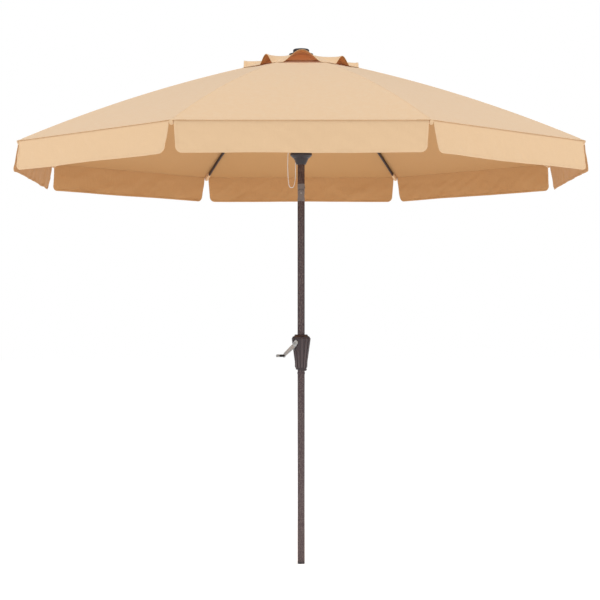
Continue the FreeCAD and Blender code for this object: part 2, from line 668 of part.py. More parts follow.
def tilt_lower_body():
    spigot = Part.makeCylinder(
        SPIGOT_RADIUS, TILT_SPIGOT, vec(0, 0, TILT_BAND_BOTTOM - TILT_SPIGOT)
    )
    band = Part.makeCylinder(
        POLE_RADIUS, TILT_PIVOT - TILT_BAND_BOTTOM, vec(0, 0, TILT_BAND_BOTTOM)
    )
    ears = rod_y(POLE_RADIUS - 0.3, POLE_RADIUS, 0, TILT_PIVOT)
    barrel = Part.makeCylinder(
        POLE_RADIUS, POLE_RADIUS, vec(0, 0, TILT_PIVOT)
    )
    body = spigot.fuse([band, ears.common(barrel)]).cut(tilt_ears_space())
    body = body.cut(rod_y(TILT_PIN_RADIUS, 40, 0, TILT_PIVOT))
    low = TILT_BAND_BOTTOM - TILT_SPIGOT - 1
    return body.cut(cord_hole(LIFT_CORD_RADIUS + 1.2, low, TILT_PIVOT)).removeSplitter()


def tilt_pin():
    """The pivot pin, flush with the band."""
    return rod_y(TILT_PIN_RADIUS - 0.02, POLE_RADIUS - 1.0, 0, TILT_PIVOT)


def tilt_upper_body():
    """The tongue, the band above it with the button's hole, and the spigot."""
    half = TILT_TONGUE / 2
    tongue = block(
        vec(-POLE_RADIUS, -half, TILT_PIVOT), vec(POLE_RADIUS, half, TILT_TOP_PLANE)
    )
    barrel = Part.makeCylinder(POLE_RADIUS - 0.5, 80, vec(0, 0, TILT_PIVOT - 40))
    rounded = rod_y(POLE_RADIUS - 1.0, half, 0, TILT_PIVOT)
    tongue = tongue.fuse(rounded).common(barrel)
    band = Part.makeCylinder(
        POLE_RADIUS, TILT_BAND_TOP - TILT_TOP_PLANE, vec(0, 0, TILT_TOP_PLANE)
    )
    spigot = Part.makeCylinder(
        SPIGOT_RADIUS, TILT_SPIGOT, vec(0, 0, TILT_BAND_TOP)
    )
    floor = TILT_TOP_PLANE + 3.0
    hollow = Part.makeCylinder(TILT_HOLLOW_RADIUS, 120, vec(0, 0, floor))
    seat = block(vec(-5, -6, floor - 1), vec(-1, 6, BUTTON_HEIGHT + 7))
    body = tongue.fuse([band, spigot]).cut(hollow).fuse(seat)
    body = body.cut(rod_y(TILT_PIN_RADIUS + RUNNING_FIT, 40, 0, TILT_PIVOT))
    body = body.cut(cord_hole(LIFT_CORD_RADIUS + 1.2, TILT_PIVOT - 40, floor + 1))
    centre = vec(5, 0, BUTTON_HEIGHT)
    return body.cut(rod(BUTTON_RADIUS + 0.15, centre, centre + vec(30, 0, 0)))


def tilt_button():
    """The push button: its shank in the wall and its flange inside."""
    back = vec(BUTTON_FLANGE_BACK, 0, BUTTON_HEIGHT)
    flange = rod(BUTTON_FLANGE_RADIUS, back, vec(BUTTON_FLANGE_FRONT, 0, BUTTON_HEIGHT))
    barrel = Part.makeCylinder(
        TILT_HOLLOW_RADIUS - 0.6, 20, vec(0, 0, BUTTON_HEIGHT - 10)
    )
    shank = rod(BUTTON_RADIUS, back, vec(POLE_RADIUS + BUTTON_PROUD, 0, BUTTON_HEIGHT))
    return flange.common(barrel).fuse(shank).removeSplitter()


def button_spring():
    seat = -0.9
    length = BUTTON_FLANGE_BACK - 0.3 - seat
    return helix_spring(0.5, 3.8, length, 5, vec(seat, 0, BUTTON_HEIGHT), ALONG_X)


# --- crank housing ---
def housing_profile(inset):
    """The housing's outline, from its foot to its collar, moved in by a wall."""
    foot = POLE_RADIUS + HOUSING_FOOT
    return [
        (foot - inset, HOUSING_BOTTOM),
        (foot + 3 - inset, HOUSING_BOTTOM + 45),
        (HOUSING_RADIUS - 9 - inset, CRANK_HEIGHT - 43),
        (HOUSING_RADIUS - inset, HOUSING_TOP - 22),
        (HOUSING_RADIUS - 1.5 - inset, HOUSING_TOP - 13 - inset / 2),
        (foot + 8 - inset, HOUSING_TOP - 7 - inset),
        (foot + 5 - inset, HOUSING_TOP - inset),
    ]


def housing_shell():
    """The whole housing before it is split, made with the crank along +X."""
    outer = turned([(0, HOUSING_BOTTOM)] + housing_profile(0) + [(0, HOUSING_TOP)])
    inner = turned(
        [(0, HOUSING_BOTTOM - 1)]
        + [(housing_profile(HOUSING_WALL)[0][0], HOUSING_BOTTOM - 1)]
        + housing_profile(HOUSING_WALL)[1:]
        + [(0, HOUSING_TOP - HOUSING_WALL)]
    )
    low = vec(0, 0, HOUSING_BOTTOM - 10)
    pole_hole = Part.makeCylinder(POLE_RADIUS + PRESS_FIT, HOUSING_HEIGHT + 20, low)
    floor = vec(CRANK_FACE, 0, CRANK_HEIGHT)
    recess = rod(RECESS_RADIUS, floor, floor + vec(50, 0, 0))
    boss = rod(RECESS_RADIUS + HOUSING_WALL, floor - vec(12, 0, 0), floor + vec(20, 0, 0))
    boss = boss.common(outer)
    pocket = rod(
        BRAKE_HUB_RADIUS + 4, vec(0, 0, CRANK_HEIGHT), vec(CRANK_FACE - 3, 0, CRANK_HEIGHT)
    )
    clamp = tube(HOUSING_RADIUS, POLE_RADIUS, HOUSING_BOTTOM + 2, HOUSING_BOTTOM + 12)
    shell = outer.cut(inner).fuse([boss, clamp.common(outer)])
    shaft = rod(CRANK_SHAFT_RADIUS + 0.1, vec(0, 0, CRANK_HEIGHT), vec(90, 0, CRANK_HEIGHT))
    for hole in (recess, pocket, shaft, pole_hole):
        shell = shell.cut(hole)
    for height in housing_screw_heights():
        for side in (-1, 1):
            shell = shell.cut(housing_screw(height, side, 0.1))
    return shell


def housing_screw_heights():
    return (HOUSING_BOTTOM + 7.0,)


def housing_screw(height, side, extra):
    """A screw that draws the two shells together beside the pole."""
    y = side * (POLE_RADIUS + 4.5)
    shank = rod(1.6 + extra, vec(-15, y, height), vec(11, y, height))
    head = rod(3.0 + extra, vec(-30, y, height), vec(-14, y, height))
    if extra:
        return shank.fuse(head)
    return shank.fuse(rod(3.0, vec(-17, y, height), vec(-14, y, height)))


def housing_half(front):
    """The shell on the crank's side of the pole, or the one behind it."""
    low, high = (0.1, 100) if front else (-100, -0.1)
    half = block(vec(low, -100, HOUSING_BOTTOM - 10), vec(high, 100, HOUSING_TOP + 10))
    return toward_crank(housing_shell().common(half)).cut(housing_foot_cut())


def housing_foot_cut():
    """The slanting cut that leaves the housing's foot lower on the +X side."""
    reach = HOUSING_RADIUS + 12
    wedge = [
        vec(-reach, -reach, HOUSING_BOTTOM - 1),
        vec(10, -reach, HOUSING_BOTTOM - 1),
        vec(-reach, -reach, HOUSING_BOTTOM + 14),
    ]
    return Part.Face(Part.makePolygon(wedge + wedge[:1])).extrude(vec(0, 2 * reach, 0))


def pole_fasteners():
    """The screws that draw the housing's two shells together round the pole."""
    parts = []
    for height in housing_screw_heights():
        for side in (-1, 1):
            parts.append(toward_crank(housing_screw(height, side, 0)))
    return group(parts)


# --- crank ---
def crank_shaft():
    """The shaft through the drum, with the brake's hub and the squared drive end."""
    low = vec(-POLE_RADIUS + 2.5, 0, CRANK_HEIGHT)
    shaft = rod(CRANK_SHAFT_RADIUS, low, vec(CRANK_FACE + 8, 0, CRANK_HEIGHT))
    hub = rod(
        BRAKE_HUB_RADIUS,
        vec(POLE_RADIUS + 2, 0, CRANK_HEIGHT),
        vec(CRANK_FACE - 4, 0, CRANK_HEIGHT),
    )
    return toward_crank(shaft.fuse(hub).removeSplitter())


def brake_spring():
    """The wrap spring round the brake's hub."""
    mean = BRAKE_HUB_RADIUS + BRAKE_WIRE + 0.3
    start = vec(POLE_RADIUS + 3, 0, CRANK_HEIGHT)
    length = CRANK_FACE - 5 - start.x
    return toward_crank(helix_spring(BRAKE_WIRE, mean, length, 5, start, ALONG_X))


def cord_drum():
    """The flanged drum in the pole, and the lift cord's turns on it."""
    half = DRUM_LENGTH / 2
    wound = DRUM_FLANGE - 1.5
    bore = CRANK_SHAFT_RADIUS
    outline = [(bore, -half), (DRUM_FLANGE, -half), (DRUM_FLANGE, 1.5 - half)]
    outline += [(DRUM_CORE, 1.5 - half)]
    outline += [(radius, -side) for radius, side in reversed(outline)]
    turns = [
        (DRUM_CORE, 1.6 - half),
        (wound, 1.6 - half),
        (wound, half - 1.6),
        (DRUM_CORE, half - 1.6),
    ]
    solids = []
    for shape in (outline, turns):
        corners = [vec(side, radius, 0) for radius, side in shape]
        face = Part.Face(Part.makePolygon(corners + corners[:1]))
        solid = face.revolve(ORIGIN, ALONG_X, 360)
        solid.translate(vec(0, 0, CRANK_HEIGHT))
        solids.append(toward_crank(solid))
    return group(solids)


def crank_arm():
    """The cranked arm, from the plate on the shaft to the boss that holds the grip."""
    face = CRANK_FACE + 2
    end = CRANK_REACH
    side = [
        (face, 22),
        (face + ARM_THICKNESS, 22),
        (face + ARM_THICKNESS, -12),
        (face + CRANK_BEND + ARM_THICKNESS, -end + 12),
        (face + CRANK_BEND + ARM_THICKNESS, -end - 10),
        (face + CRANK_BEND, -end - 10),
        (face + CRANK_BEND, -end + 9),
        (face, -14),
    ]
    wide, narrow = ARM_HALF_WIDTH, ARM_END_WIDTH
    front = [(-wide, 12), (-wide + 5, 21), (wide - 5, 21), (wide, 12), (wide, -8)]
    front += [(narrow, -end - 5), (narrow - 4, -end - 10), (4 - narrow, -end - 10)]
    front += [(-narrow, -end - 5), (-wide, -8)]
    bar = flat_plate(side, 40)
    corners = [vec(30, y, z) for y, z in front]
    profile = Part.Face(Part.makePolygon(corners + corners[:1])).extrude(vec(90, 0, 0))
    arm = bar.common(profile)
    boss = rod(13, vec(face, 0, 0), vec(face + 3, 0, 0))
    arm = arm.fuse(boss)
    arm = arm.cut(rod(CRANK_SHAFT_RADIUS, vec(0, 0, 0), vec(200, 0, 0)))
    pin_start = face + CRANK_BEND + ARM_THICKNESS
    pin_end = pin_start + GRIP_LENGTH - 4
    pin = rod(GRIP_PIN_RADIUS, vec(pin_start - 5, 0, -end), vec(pin_end, 0, -end))
    return place_on_crank(arm.fuse(pin).removeSplitter())


def place_on_crank(shape):
    """Turn a shape made on a crank that points down to the crank's rest angle."""
    copy = shape.copy()
    copy.rotate(ORIGIN, ALONG_X, -CRANK_REST_ANGLE)
    copy.translate(vec(0, 0, CRANK_HEIGHT))
    return toward_crank(copy)


def crank_fasteners():
    """The nut that holds the arm on the shaft, and the screw that holds the grip."""
    outer = CRANK_FACE + 2 + ARM_THICKNESS
    nut = rod(7, vec(outer, 0, 0), vec(outer + 5, 0, 0))
    nut = nut.cut(rod(CRANK_SHAFT_RADIUS, vec(0, 0, 0), vec(200, 0, 0)))
    grip_end = CRANK_FACE + 2 + CRANK_BEND + ARM_THICKNESS + GRIP_LENGTH - 4
    head = GRIP_PIN_RADIUS + 1.5
    screw = rod(head, vec(grip_end, 0, -CRANK_REACH), vec(grip_end + 2, 0, -CRANK_REACH))
    return place_on_crank(group([nut, screw]))


def crank_grip():
    """The barrel grip that turns freely on the arm's pin."""
    start = CRANK_FACE + 2 + CRANK_BEND + ARM_THICKNESS + 0.5
    end = start + GRIP_LENGTH
    middle = start + GRIP_LENGTH * 0.4
    outline = [(start, GRIP_RADIUS - 1.4), (start + 3, GRIP_RADIUS - 0.4)]
    outline += [(middle, GRIP_RADIUS), (end - 9, GRIP_RADIUS - 0.5), (end, GRIP_RADIUS - 1.1)]
    corners = [vec(x, radius, 0) for x, radius in [(start, 0)] + outline + [(end, 0)]]
    grip = Part.Face(Part.makePolygon(corners + corners[:1])).revolve(ORIGIN, ALONG_X, 360)
    bore = rod(GRIP_PIN_RADIUS + RUNNING_FIT, vec(start - 1, 0, 0), vec(end - 5, 0, 0))
    pocket = rod(GRIP_PIN_RADIUS + 2, vec(end - 5, 0, 0), vec(end + 1, 0, 0))
    grip = grip.cut(bore).cut(pocket)
    grip.translate(vec(0, 0, -CRANK_REACH))
    return place_on_crank(grip)


# --- cords ---
def lift_cord_lower():
    """From the top of the drum's turns up to the tilt joint, inside the pole."""
    side = DRUM_FLANGE - 1.5 + LIFT_CORD_RADIUS + 0.3
    across = CRANK_OUT.cross(UP)
    start = vec(across.x * side, across.y * side, CRANK_HEIGHT)
    start = start if start.x < 0 else vec(-start.x, -start.y, start.z)
    entry = vec(CORD_X, 0, TILT_BAND_BOTTOM - TILT_SPIGOT - 4)
    top = vec(CORD_X, 0, TILT_PIVOT - POLE_RADIUS - 3)
    joint = Part.makeSphere(LIFT_CORD_RADIUS, entry)
    lower = rod(LIFT_CORD_RADIUS, start, entry)
    return lower.fuse([joint, rod(LIFT_CORD_RADIUS, entry, top)]).removeSplitter()


def lift_cord_upper():
    """From the tilt joint over the pulley and down to the runner."""
    turn = vec(CORD_X, 0, PULLEY_HEIGHT)
    low = vec(CORD_X, 0, TILT_PIVOT - POLE_RADIUS + 2)
    crest = vec(CORD_X - PULLEY_PITCH, 0, PULLEY_HEIGHT + PULLEY_PITCH)
    outside = vec(OUTER_CORD_X, 0, PULLEY_HEIGHT)
    end = vec(OUTER_CORD_X, 0, RUNNER_PIVOT_HEIGHT + 2)
    edges = [
        Part.LineSegment(low, turn).toShape(),
        Part.Arc(turn, crest, outside).toShape(),
        Part.LineSegment(outside, end).toShape(),
    ]
    section = Part.Wire(Part.makeCircle(LIFT_CORD_RADIUS, low, UP))
    return Part.Wire(edges).makePipeShell([section], True, False)


LOOP_ROUTE = [
    vec(-30, 0, 2121),
    vec(-29, -1, 2078),
    vec(-30, -3, 2036),
    vec(-35, -5, 2008),
    vec(-41, -6, 1988),
    vec(-61, -6, 1989),
    vec(-66, -5, 2010),
    vec(-69, -4, 2040),
    vec(-71, -2, 2090),
    vec(-71, -1, 2138),
    vec(-69, 0, 2170),
    vec(-64, 0, 2187),
    vec(-53, 0, 2193),
]


def cord_loop():
    """The free loop below the runner: straight runs joined by tangent arcs."""
    edges = []
    start = LOOP_ROUTE[0]
    for before, corner, after in zip(LOOP_ROUTE, LOOP_ROUTE[1:], LOOP_ROUTE[2:]):
        run_in, run_out = corner - before, after - corner
        turn = run_in.getAngle(run_out)
        cut = 0.45 * min(run_in.Length, run_out.Length)
        enter = corner - run_in.normalize() * cut
        leave = corner + run_out.normalize() * cut
        radius = cut / math.tan(turn / 2)
        to_centre = ((enter + leave) * 0.5 - corner).normalize()
        depth = math.hypot(radius, cut) - radius
        edges.append(Part.LineSegment(start, enter).toShape())
        edges.append(Part.Arc(enter, corner + to_centre * depth, leave).toShape())
        print("loop bend radius", round(radius, 1))
        start = leave
    edges.append(Part.LineSegment(start, LOOP_ROUTE[-1]).toShape())
    path = Part.Wire(edges)
    first = LOOP_ROUTE[1] - LOOP_ROUTE[0]
    section = Part.Wire(Part.makeCircle(LOOP_CORD_RADIUS, LOOP_ROUTE[0], first))
    loop = path.makePipeShell([section], True, False)
    expected = math.pi * LOOP_CORD_RADIUS**2 * path.Length
    print("loop length", round(path.Length, 1), "volume ratio", round(loop.Volume / expected, 4))
    return loop


def build():
    """Every node of the umbrella, by name."""
    nodes = {
        "foot_plug": foot_plug(),
        "lower_pole": tube(POLE_RADIUS, POLE_BORE, FOOT_CAP_HEIGHT, LOWER_POLE_TOP),
        "pole_coupler": pole_coupler(),
        "middle_pole": middle_pole(),
        "crank_housing_front": housing_half(True),
        "crank_housing_rear": housing_half(False),
        "pole_fasteners": pole_fasteners(),
        "brake_spring": brake_spring(),
        "crank_shaft": crank_shaft(),
        "cord_drum": cord_drum(),
        "crank_arm": crank_arm(),
        "crank_fasteners": crank_fasteners(),
        "crank_grip": crank_grip(),
        "tilt_lower_body": tilt_lower_body(),
        "tilt_pin": tilt_pin(),
        "tilt_upper_body": tilt_upper_body(),
        "tilt_button": tilt_button(),
        "button_spring": button_spring(),
        "upper_pole": upper_pole(),
        "top_hub": top_hub(),
        "hub_wire": ring_wire(HUB_PIVOT_HEIGHT),
        "pulley": pulley(),
        "finial": finial(),
        "runner": runner(),
        "runner_wire": ring_wire(RUNNER_PIVOT_HEIGHT),
        "lift_cord_lower": lift_cord_lower(),
        "lift_cord_upper": lift_cord_upper(),
        "cord_loop": cord_loop(),
    }
    repeated = {
        "rib": rib(),
        "stretcher": stretcher(),
        "canopy_gore": canopy_gore(),
        "valance": valance_flap(),
    }
    for name, shape in repeated.items():
        for index in range(RIB_COUNT):
            nodes[f"{name}_{index + 1}"] = around(shape, index)
    return nodes


os.makedirs("parts", exist_ok=True)
for node_name, node_shape in build().items():
    if not node_shape.isValid() or node_shape.Volume <= 0:
        print("check", node_name, node_shape.isValid(), node_shape.Volume)
    node_shape.exportStep(f"parts/{node_name}.step")
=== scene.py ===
"""The looks of a crank-lift patio umbrella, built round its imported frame. Metres, +Z up."""

import json
import logging
import math
from dataclasses import dataclass
from enum import Enum
from typing import Callable, Iterable, Sequence

import bpy
from mathutils import Matrix, Vector, noise

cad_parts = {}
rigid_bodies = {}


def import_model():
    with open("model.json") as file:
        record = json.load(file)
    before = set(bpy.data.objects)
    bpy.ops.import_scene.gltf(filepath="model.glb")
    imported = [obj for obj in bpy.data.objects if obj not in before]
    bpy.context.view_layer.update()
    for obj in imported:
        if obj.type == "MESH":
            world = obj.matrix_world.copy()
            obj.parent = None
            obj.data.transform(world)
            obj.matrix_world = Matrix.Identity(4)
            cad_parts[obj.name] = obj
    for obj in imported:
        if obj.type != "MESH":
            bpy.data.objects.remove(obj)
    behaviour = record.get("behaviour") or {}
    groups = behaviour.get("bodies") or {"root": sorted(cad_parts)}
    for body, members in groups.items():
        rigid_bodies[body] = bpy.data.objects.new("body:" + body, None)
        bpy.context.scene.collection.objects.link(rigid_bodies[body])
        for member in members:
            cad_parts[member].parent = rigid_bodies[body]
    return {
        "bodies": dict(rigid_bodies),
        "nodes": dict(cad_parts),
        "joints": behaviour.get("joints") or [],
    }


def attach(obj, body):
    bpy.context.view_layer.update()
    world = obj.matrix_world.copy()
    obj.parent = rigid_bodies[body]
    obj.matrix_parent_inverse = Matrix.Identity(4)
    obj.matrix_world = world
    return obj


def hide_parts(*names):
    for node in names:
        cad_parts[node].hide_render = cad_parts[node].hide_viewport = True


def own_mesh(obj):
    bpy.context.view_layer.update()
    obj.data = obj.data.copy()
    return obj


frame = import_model()

LOG = logging.getLogger("umbrella")
Colour = tuple[float, float, float]
JOINTS = {joint["name"]: joint for joint in frame["joints"]}
RIB_COUNT = sum(name.startswith("rib_") for name in frame["bodies"])
HALF_STEP = math.pi / RIB_COUNT
SIN_HALF = math.sin(HALF_STEP)
COS_HALF = math.cos(HALF_STEP)
UP = Vector((0, 0, 1))
CLOTH_DUST: Colour = (0.80, 0.72, 0.60)
COAT_DUST: Colour = (0.30, 0.27, 0.23)
PLASTIC_DUST: Colour = (0.34, 0.30, 0.26)
# Edges below these angles, in degrees, are shaded smooth.
SHEET_ANGLE, HARD_ANGLE, HEM_ANGLE, CORD_ANGLE, THREAD_ANGLE = 38.0, 40.0, 50.0, 60.0, 70.0


def rib_azimuth(index: int) -> float:
    """The compass direction of a rib, in radians."""
    return HALF_STEP + 2 * HALF_STEP * index


def outward(azimuth: float) -> Vector:
    """The level direction away from the pole at this azimuth."""
    return Vector((math.cos(azimuth), math.sin(azimuth), 0))


def tangent(azimuth: float) -> Vector:
    """The level direction round the pole at this azimuth."""
    return Vector((-math.sin(azimuth), math.cos(azimuth), 0))


# --- node trees ---
class Graph:
    """A node tree that is being wired."""

    def __init__(self, tree: bpy.types.NodeTree) -> None:
        """Start on a tree, which may hold nodes already."""
        self.tree = tree

    def add(self, kind: str, inputs: dict | None = None, **settings: object) -> bpy.types.Node:
        """Add a node and set or link its inputs.

        Args:
            kind: The node's type name.
            inputs: A value or an output socket for each input, by name or place.
            settings: The node's own settings.

        Returns:
            The new node.
        """
        node = self.tree.nodes.new(kind)
        for name, value in settings.items():
            setattr(node, name, value)
        for name, value in (inputs or {}).items():
            if isinstance(value, bpy.types.NodeSocket):
                self.tree.links.new(value, node.inputs[name])
            else:
                node.inputs[name].default_value = value
        return node

    def maths(self, operation: str, *values: object) -> bpy.types.NodeSocket:
        """The result of a Math node on these values or sockets."""
        node = self.add("ShaderNodeMath", dict(enumerate(values)), operation=operation)
        return node.outputs[0]

    def noise(self, vector: object, scale: float, detail: float = 2.0) -> bpy.types.NodeSocket:
        """A noise field's value at this vector."""
        settings = {"Vector": vector, "Scale": scale, "Detail": detail}
        return self.add("ShaderNodeTexNoise", settings).outputs[0]

    def stretched(self, vector: object, scale: Sequence[float]) -> bpy.types.NodeSocket:
        """The vector with each of its parts multiplied."""
        inputs = {0: vector, 1: scale}
        return self.add("ShaderNodeVectorMath", inputs, operation="MULTIPLY").outputs[0]

    def colour_mix(self, factor: object, first: object, second: object) -> bpy.types.NodeSocket:
        """A colour between two others."""
        first = (*first, 1) if isinstance(first, tuple) else first
        second = (*second, 1) if isinstance(second, tuple) else second
        inputs = {0: factor, 6: first, 7: second}
        return self.add("ShaderNodeMix", inputs, data_type="RGBA").outputs[2]

    def spread(self, value: object, low: float, high: float) -> bpy.types.NodeSocket:
        """A value from 0 to 1, spread between two others and held there."""
        inputs = {"Value": value, "To Min": low, "To Max": high}
        return self.add("ShaderNodeMapRange", inputs).outputs[0]

    def edge(self, value: object, low: float, high: float) -> bpy.types.NodeSocket:
        """Zero below one value, one above another, and smooth between."""
        inputs = {"Value": value, "From Min": low, "From Max": high}
        node = self.add("ShaderNodeMapRange", inputs, interpolation_type="SMOOTHSTEP")
        return node.outputs[0]

    def paint(self, shader: bpy.types.Node, colour: object, rough: object) -> None:
        """Link a shader's colour and its roughness."""
        self.tree.links.new(colour, shader.inputs["Base Color"])
        self.tree.links.new(rough, shader.inputs["Roughness"])


def effect(name: str, inputs: dict, outputs: Iterable[str], wire: Callable) -> bpy.types.NodeTree:
    """Make a shared effect's node group once, and return it from then on.

    Args:
        name: The group's name.
        inputs: The default of each input, a number or None for a vector.
        outputs: The names of the values that the group puts out.
        wire: A function of the graph and the input sockets that returns the outputs.

    Returns:
        The node group.
    """
    if name in bpy.data.node_groups:
        return bpy.data.node_groups[name]
    tree = bpy.data.node_groups.new(name, "ShaderNodeTree")
    for label, default in inputs.items():
        kind = "NodeSocketVector" if default is None else "NodeSocketFloat"
        socket = tree.interface.new_socket(label, in_out="INPUT", socket_type=kind)
        if default is not None:
            socket.default_value = default
    for label in outputs:
        tree.interface.new_socket(label, in_out="OUTPUT", socket_type="NodeSocketFloat")
    graph = Graph(tree)
    entry = graph.add("NodeGroupInput")
    results = wire(graph, entry.outputs)
    graph.add("NodeGroupOutput", dict(zip(outputs, results)))
    return tree


def weave_effect() -> bpy.types.NodeTree:
    """Plain weave: a thread over and under, and slubs in the yarn."""

    def wire(graph: Graph, given: bpy.types.bpy_prop_collection) -> tuple:
        """Wire the weave."""
        threads = graph.add(
            "ShaderNodeVectorMath",
            {0: given["Vector"], "Scale": graph.maths("DIVIDE", 1.0, given["Pitch"])},
            operation="SCALE",
        ).outputs[0]
        parts = graph.add("ShaderNodeSeparateXYZ", {0: threads}).outputs
        warp, weft = (
            graph.maths("ABSOLUTE", graph.maths("SINE", graph.maths("MULTIPLY", part, math.pi)))
            for part in (parts[0], parts[1])
        )
        over = graph.add("ShaderNodeTexChecker", {"Vector": threads, "Scale": 1.0}).outputs[1]
        lifted = graph.add("ShaderNodeMix", {0: over, 2: warp, 3: weft}).outputs[0]
        along = graph.noise(graph.stretched(given["Vector"], (14, 420, 1)), 1.0, 3)
        across = graph.noise(graph.stretched(given["Vector"], (420, 14, 1)), 1.0, 3)
        return lifted, graph.maths("MULTIPLY", graph.maths("ADD", along, across), 0.5)

    return effect("weave", {"Vector": None, "Pitch": 0.0008}, ("Height", "Slub"), wire)


def crease_effect() -> bpy.types.NodeTree:
    """Soft creases left in cloth by folding, and broad tone changes."""

    def wire(graph: Graph, given: bpy.types.bpy_prop_collection) -> tuple:
        """Wire the creases."""
        broad = graph.noise(given["Vector"], 3.0, 2)
        long = graph.noise(graph.stretched(given["Vector"], (26, 7, 9)), 1.0, 3)
        ridge = graph.maths("ABSOLUTE", graph.maths("SUBTRACT", long, 0.5))
        fold = graph.maths("SUBTRACT", 1.0, graph.edge(ridge, 0.0, 0.07))
        return graph.maths("ADD", broad, graph.maths("MULTIPLY", fold, 0.25)), broad

    return effect("creases", {"Vector": None}, ("Height", "Tone"), wire)


def grain_effect() -> bpy.types.NodeTree:
    """The fine texture of a coat or a moulding, and its slow changes of tone."""

    def wire(graph: Graph, given: bpy.types.bpy_prop_collection) -> tuple:
        """Wire the grain."""
        where, density = given["Vector"], given["Density"]
        fine = graph.noise(where, density)
        cells = graph.add("ShaderNodeTexVoronoi", {"Vector": where, "Scale": density}).outputs[0]
        height = graph.maths("ADD", fine, graph.maths("MULTIPLY", cells, 0.5))
        return height, graph.noise(where, 17.0, 4)

    return effect("grain", {"Vector": None, "Density": 900.0}, ("Height", "Tone"), wire)


def wear_effect() -> bpy.types.NodeTree:
    """Edges that handling has rubbed, broken up by a noise."""

    def wire(graph: Graph, given: bpy.types.bpy_prop_collection) -> tuple:
        """Wire the wear."""
        sharp = graph.add("ShaderNodeNewGeometry").outputs["Pointiness"]
        patchy = graph.noise(given["Vector"], 160.0, 4)
        mask = graph.maths("MULTIPLY", graph.edge(sharp, 0.53, 0.62), graph.edge(patchy, 0.4, 0.65))
        return (graph.maths("MULTIPLY", mask, given["Amount"]),)

    return effect("edge_wear", {"Vector": None, "Amount": 0.5}, ("Mask",), wire)


def dust_effect() -> bpy.types.NodeTree:
    """Dust that settles on what faces up."""

    def wire(graph: Graph, given: bpy.types.bpy_prop_collection) -> tuple:
        """Wire the dust."""
        normal = graph.add("ShaderNodeNewGeometry").outputs["Normal"]
        up = graph.add("ShaderNodeSeparateXYZ", {0: normal}).outputs[2]
        patchy = graph.noise(given["Vector"], 38.0, 5)
        mask = graph.maths("MULTIPLY", graph.edge(up, 0.2, 1.0), graph.edge(patchy, 0.35, 0.8))
        return (graph.maths("MULTIPLY", mask, given["Amount"]),)

    return effect("dust", {"Vector": None, "Amount": 0.3}, ("Mask",), wire)


def braid_effect() -> bpy.types.NodeTree:
    """The crossing strands of a braided cord, from turns round it and metres along it."""

    def wire(graph: Graph, given: bpy.types.bpy_prop_collection) -> tuple:
        """Wire the braid."""
        parts = graph.add("ShaderNodeSeparateXYZ", {0: given["Vector"]}).outputs
        along = graph.maths("DIVIDE", parts[1], given["Lay"])
        strands = []
        for hand in (-1.0, 1.0):
            turn = graph.maths("ADD", graph.maths("MULTIPLY", parts[0], 4.0 * hand), along)
            wave = graph.maths("SINE", graph.maths("MULTIPLY", turn, 2 * math.pi))
            strands.append(graph.maths("ABSOLUTE", wave))
        return (graph.maths("MAXIMUM", *strands),)

    return effect("braid", {"Vector": None, "Lay": 0.006}, ("Height",), wire)


# --- finishes ---
def blank_material(name: str) -> tuple[Graph, bpy.types.Node, bpy.types.Node]:
    """A new material's graph, its shader and its Texture Coordinate node."""
    material = bpy.data.materials.new(name)
    material.use_nodes = True
    graph = Graph(material.node_tree)
    shader = material.node_tree.nodes["Principled BSDF"]
    return graph, shader, graph.add("ShaderNodeTexCoord")


def use_effect(graph: Graph, tree: bpy.types.NodeTree, inputs: dict) -> bpy.types.Node:
    """Place a shared effect in a material."""
    return graph.add("ShaderNodeGroup", inputs, node_tree=tree)


def bump(graph: Graph, shader: bpy.types.Node, *layers: tuple) -> None:
    """Feed the shader's Normal from layers of (height, strength, distance)."""
    below = None
    for height, strength, distance in layers:
        inputs = {"Height": height, "Strength": strength, "Distance": distance}
        if below is not None:
            inputs["Normal"] = below
        below = graph.add("ShaderNodeBump", inputs).outputs[0]
    graph.tree.links.new(below, shader.inputs["Normal"])


def set_shader(shader: bpy.types.Node, **values: object) -> None:
    """Set the shader's own sockets. A name's underscores stand for spaces."""
    for name, value in values.items():
        shader.inputs[name.replace("_", " ")].default_value = value


@dataclass(frozen=True)
class Canvas:
    """Woven polyester canvas, dyed through; the copies for undersides and netting carry painted shade
    and painted glow.
    """

    name: str
    colour: Colour
    thread_shade: Colour
    pitch: float = 0.0009
    roughness: float = 0.86
    sheen: float = 0.15
    glow: float = 0.0  # daylight that comes through the cloth above

    def make(self) -> bpy.types.Material:
        """Build the material. Its pattern follows the cloth's own UV, in metres."""
        graph, shader, place = blank_material(self.name)
        cloth = place.outputs["UV"]
        weave = use_effect(graph, weave_effect(), {"Vector": cloth, "Pitch": self.pitch})
        crease = use_effect(graph, crease_effect(), {"Vector": cloth})
        dust = use_effect(graph, dust_effect(), {"Vector": place.outputs["Object"], "Amount": 0.12})
        yarn = graph.colour_mix(
            graph.spread(weave.outputs["Slub"], 0.0, 1.0), self.thread_shade, self.colour
        )
        toned = graph.colour_mix(graph.spread(crease.outputs["Tone"], 0.0, 0.22), yarn, self.colour)
        dusty = graph.colour_mix(dust.outputs["Mask"], toned, CLOTH_DUST)
        rough = graph.spread(weave.outputs["Slub"], self.roughness - 0.08, self.roughness + 0.08)
        graph.paint(shader, dusty, rough)
        set_shader(shader, Sheen_Weight=self.sheen, Sheen_Roughness=0.4, Specular_IOR_Level=0.25)
        # Painted light: the glow makes the cloth give out its own colour, standing in for daylight
        # through the cloth.
        set_shader(shader, Emission_Color=(*self.colour, 1), Emission_Strength=self.glow)
        bump(
            graph,
            shader,
            (crease.outputs["Height"], 0.35, 0.0025),
            (weave.outputs["Height"], 0.12, 0.0002),
        )
        return bpy.data.materials[self.name]


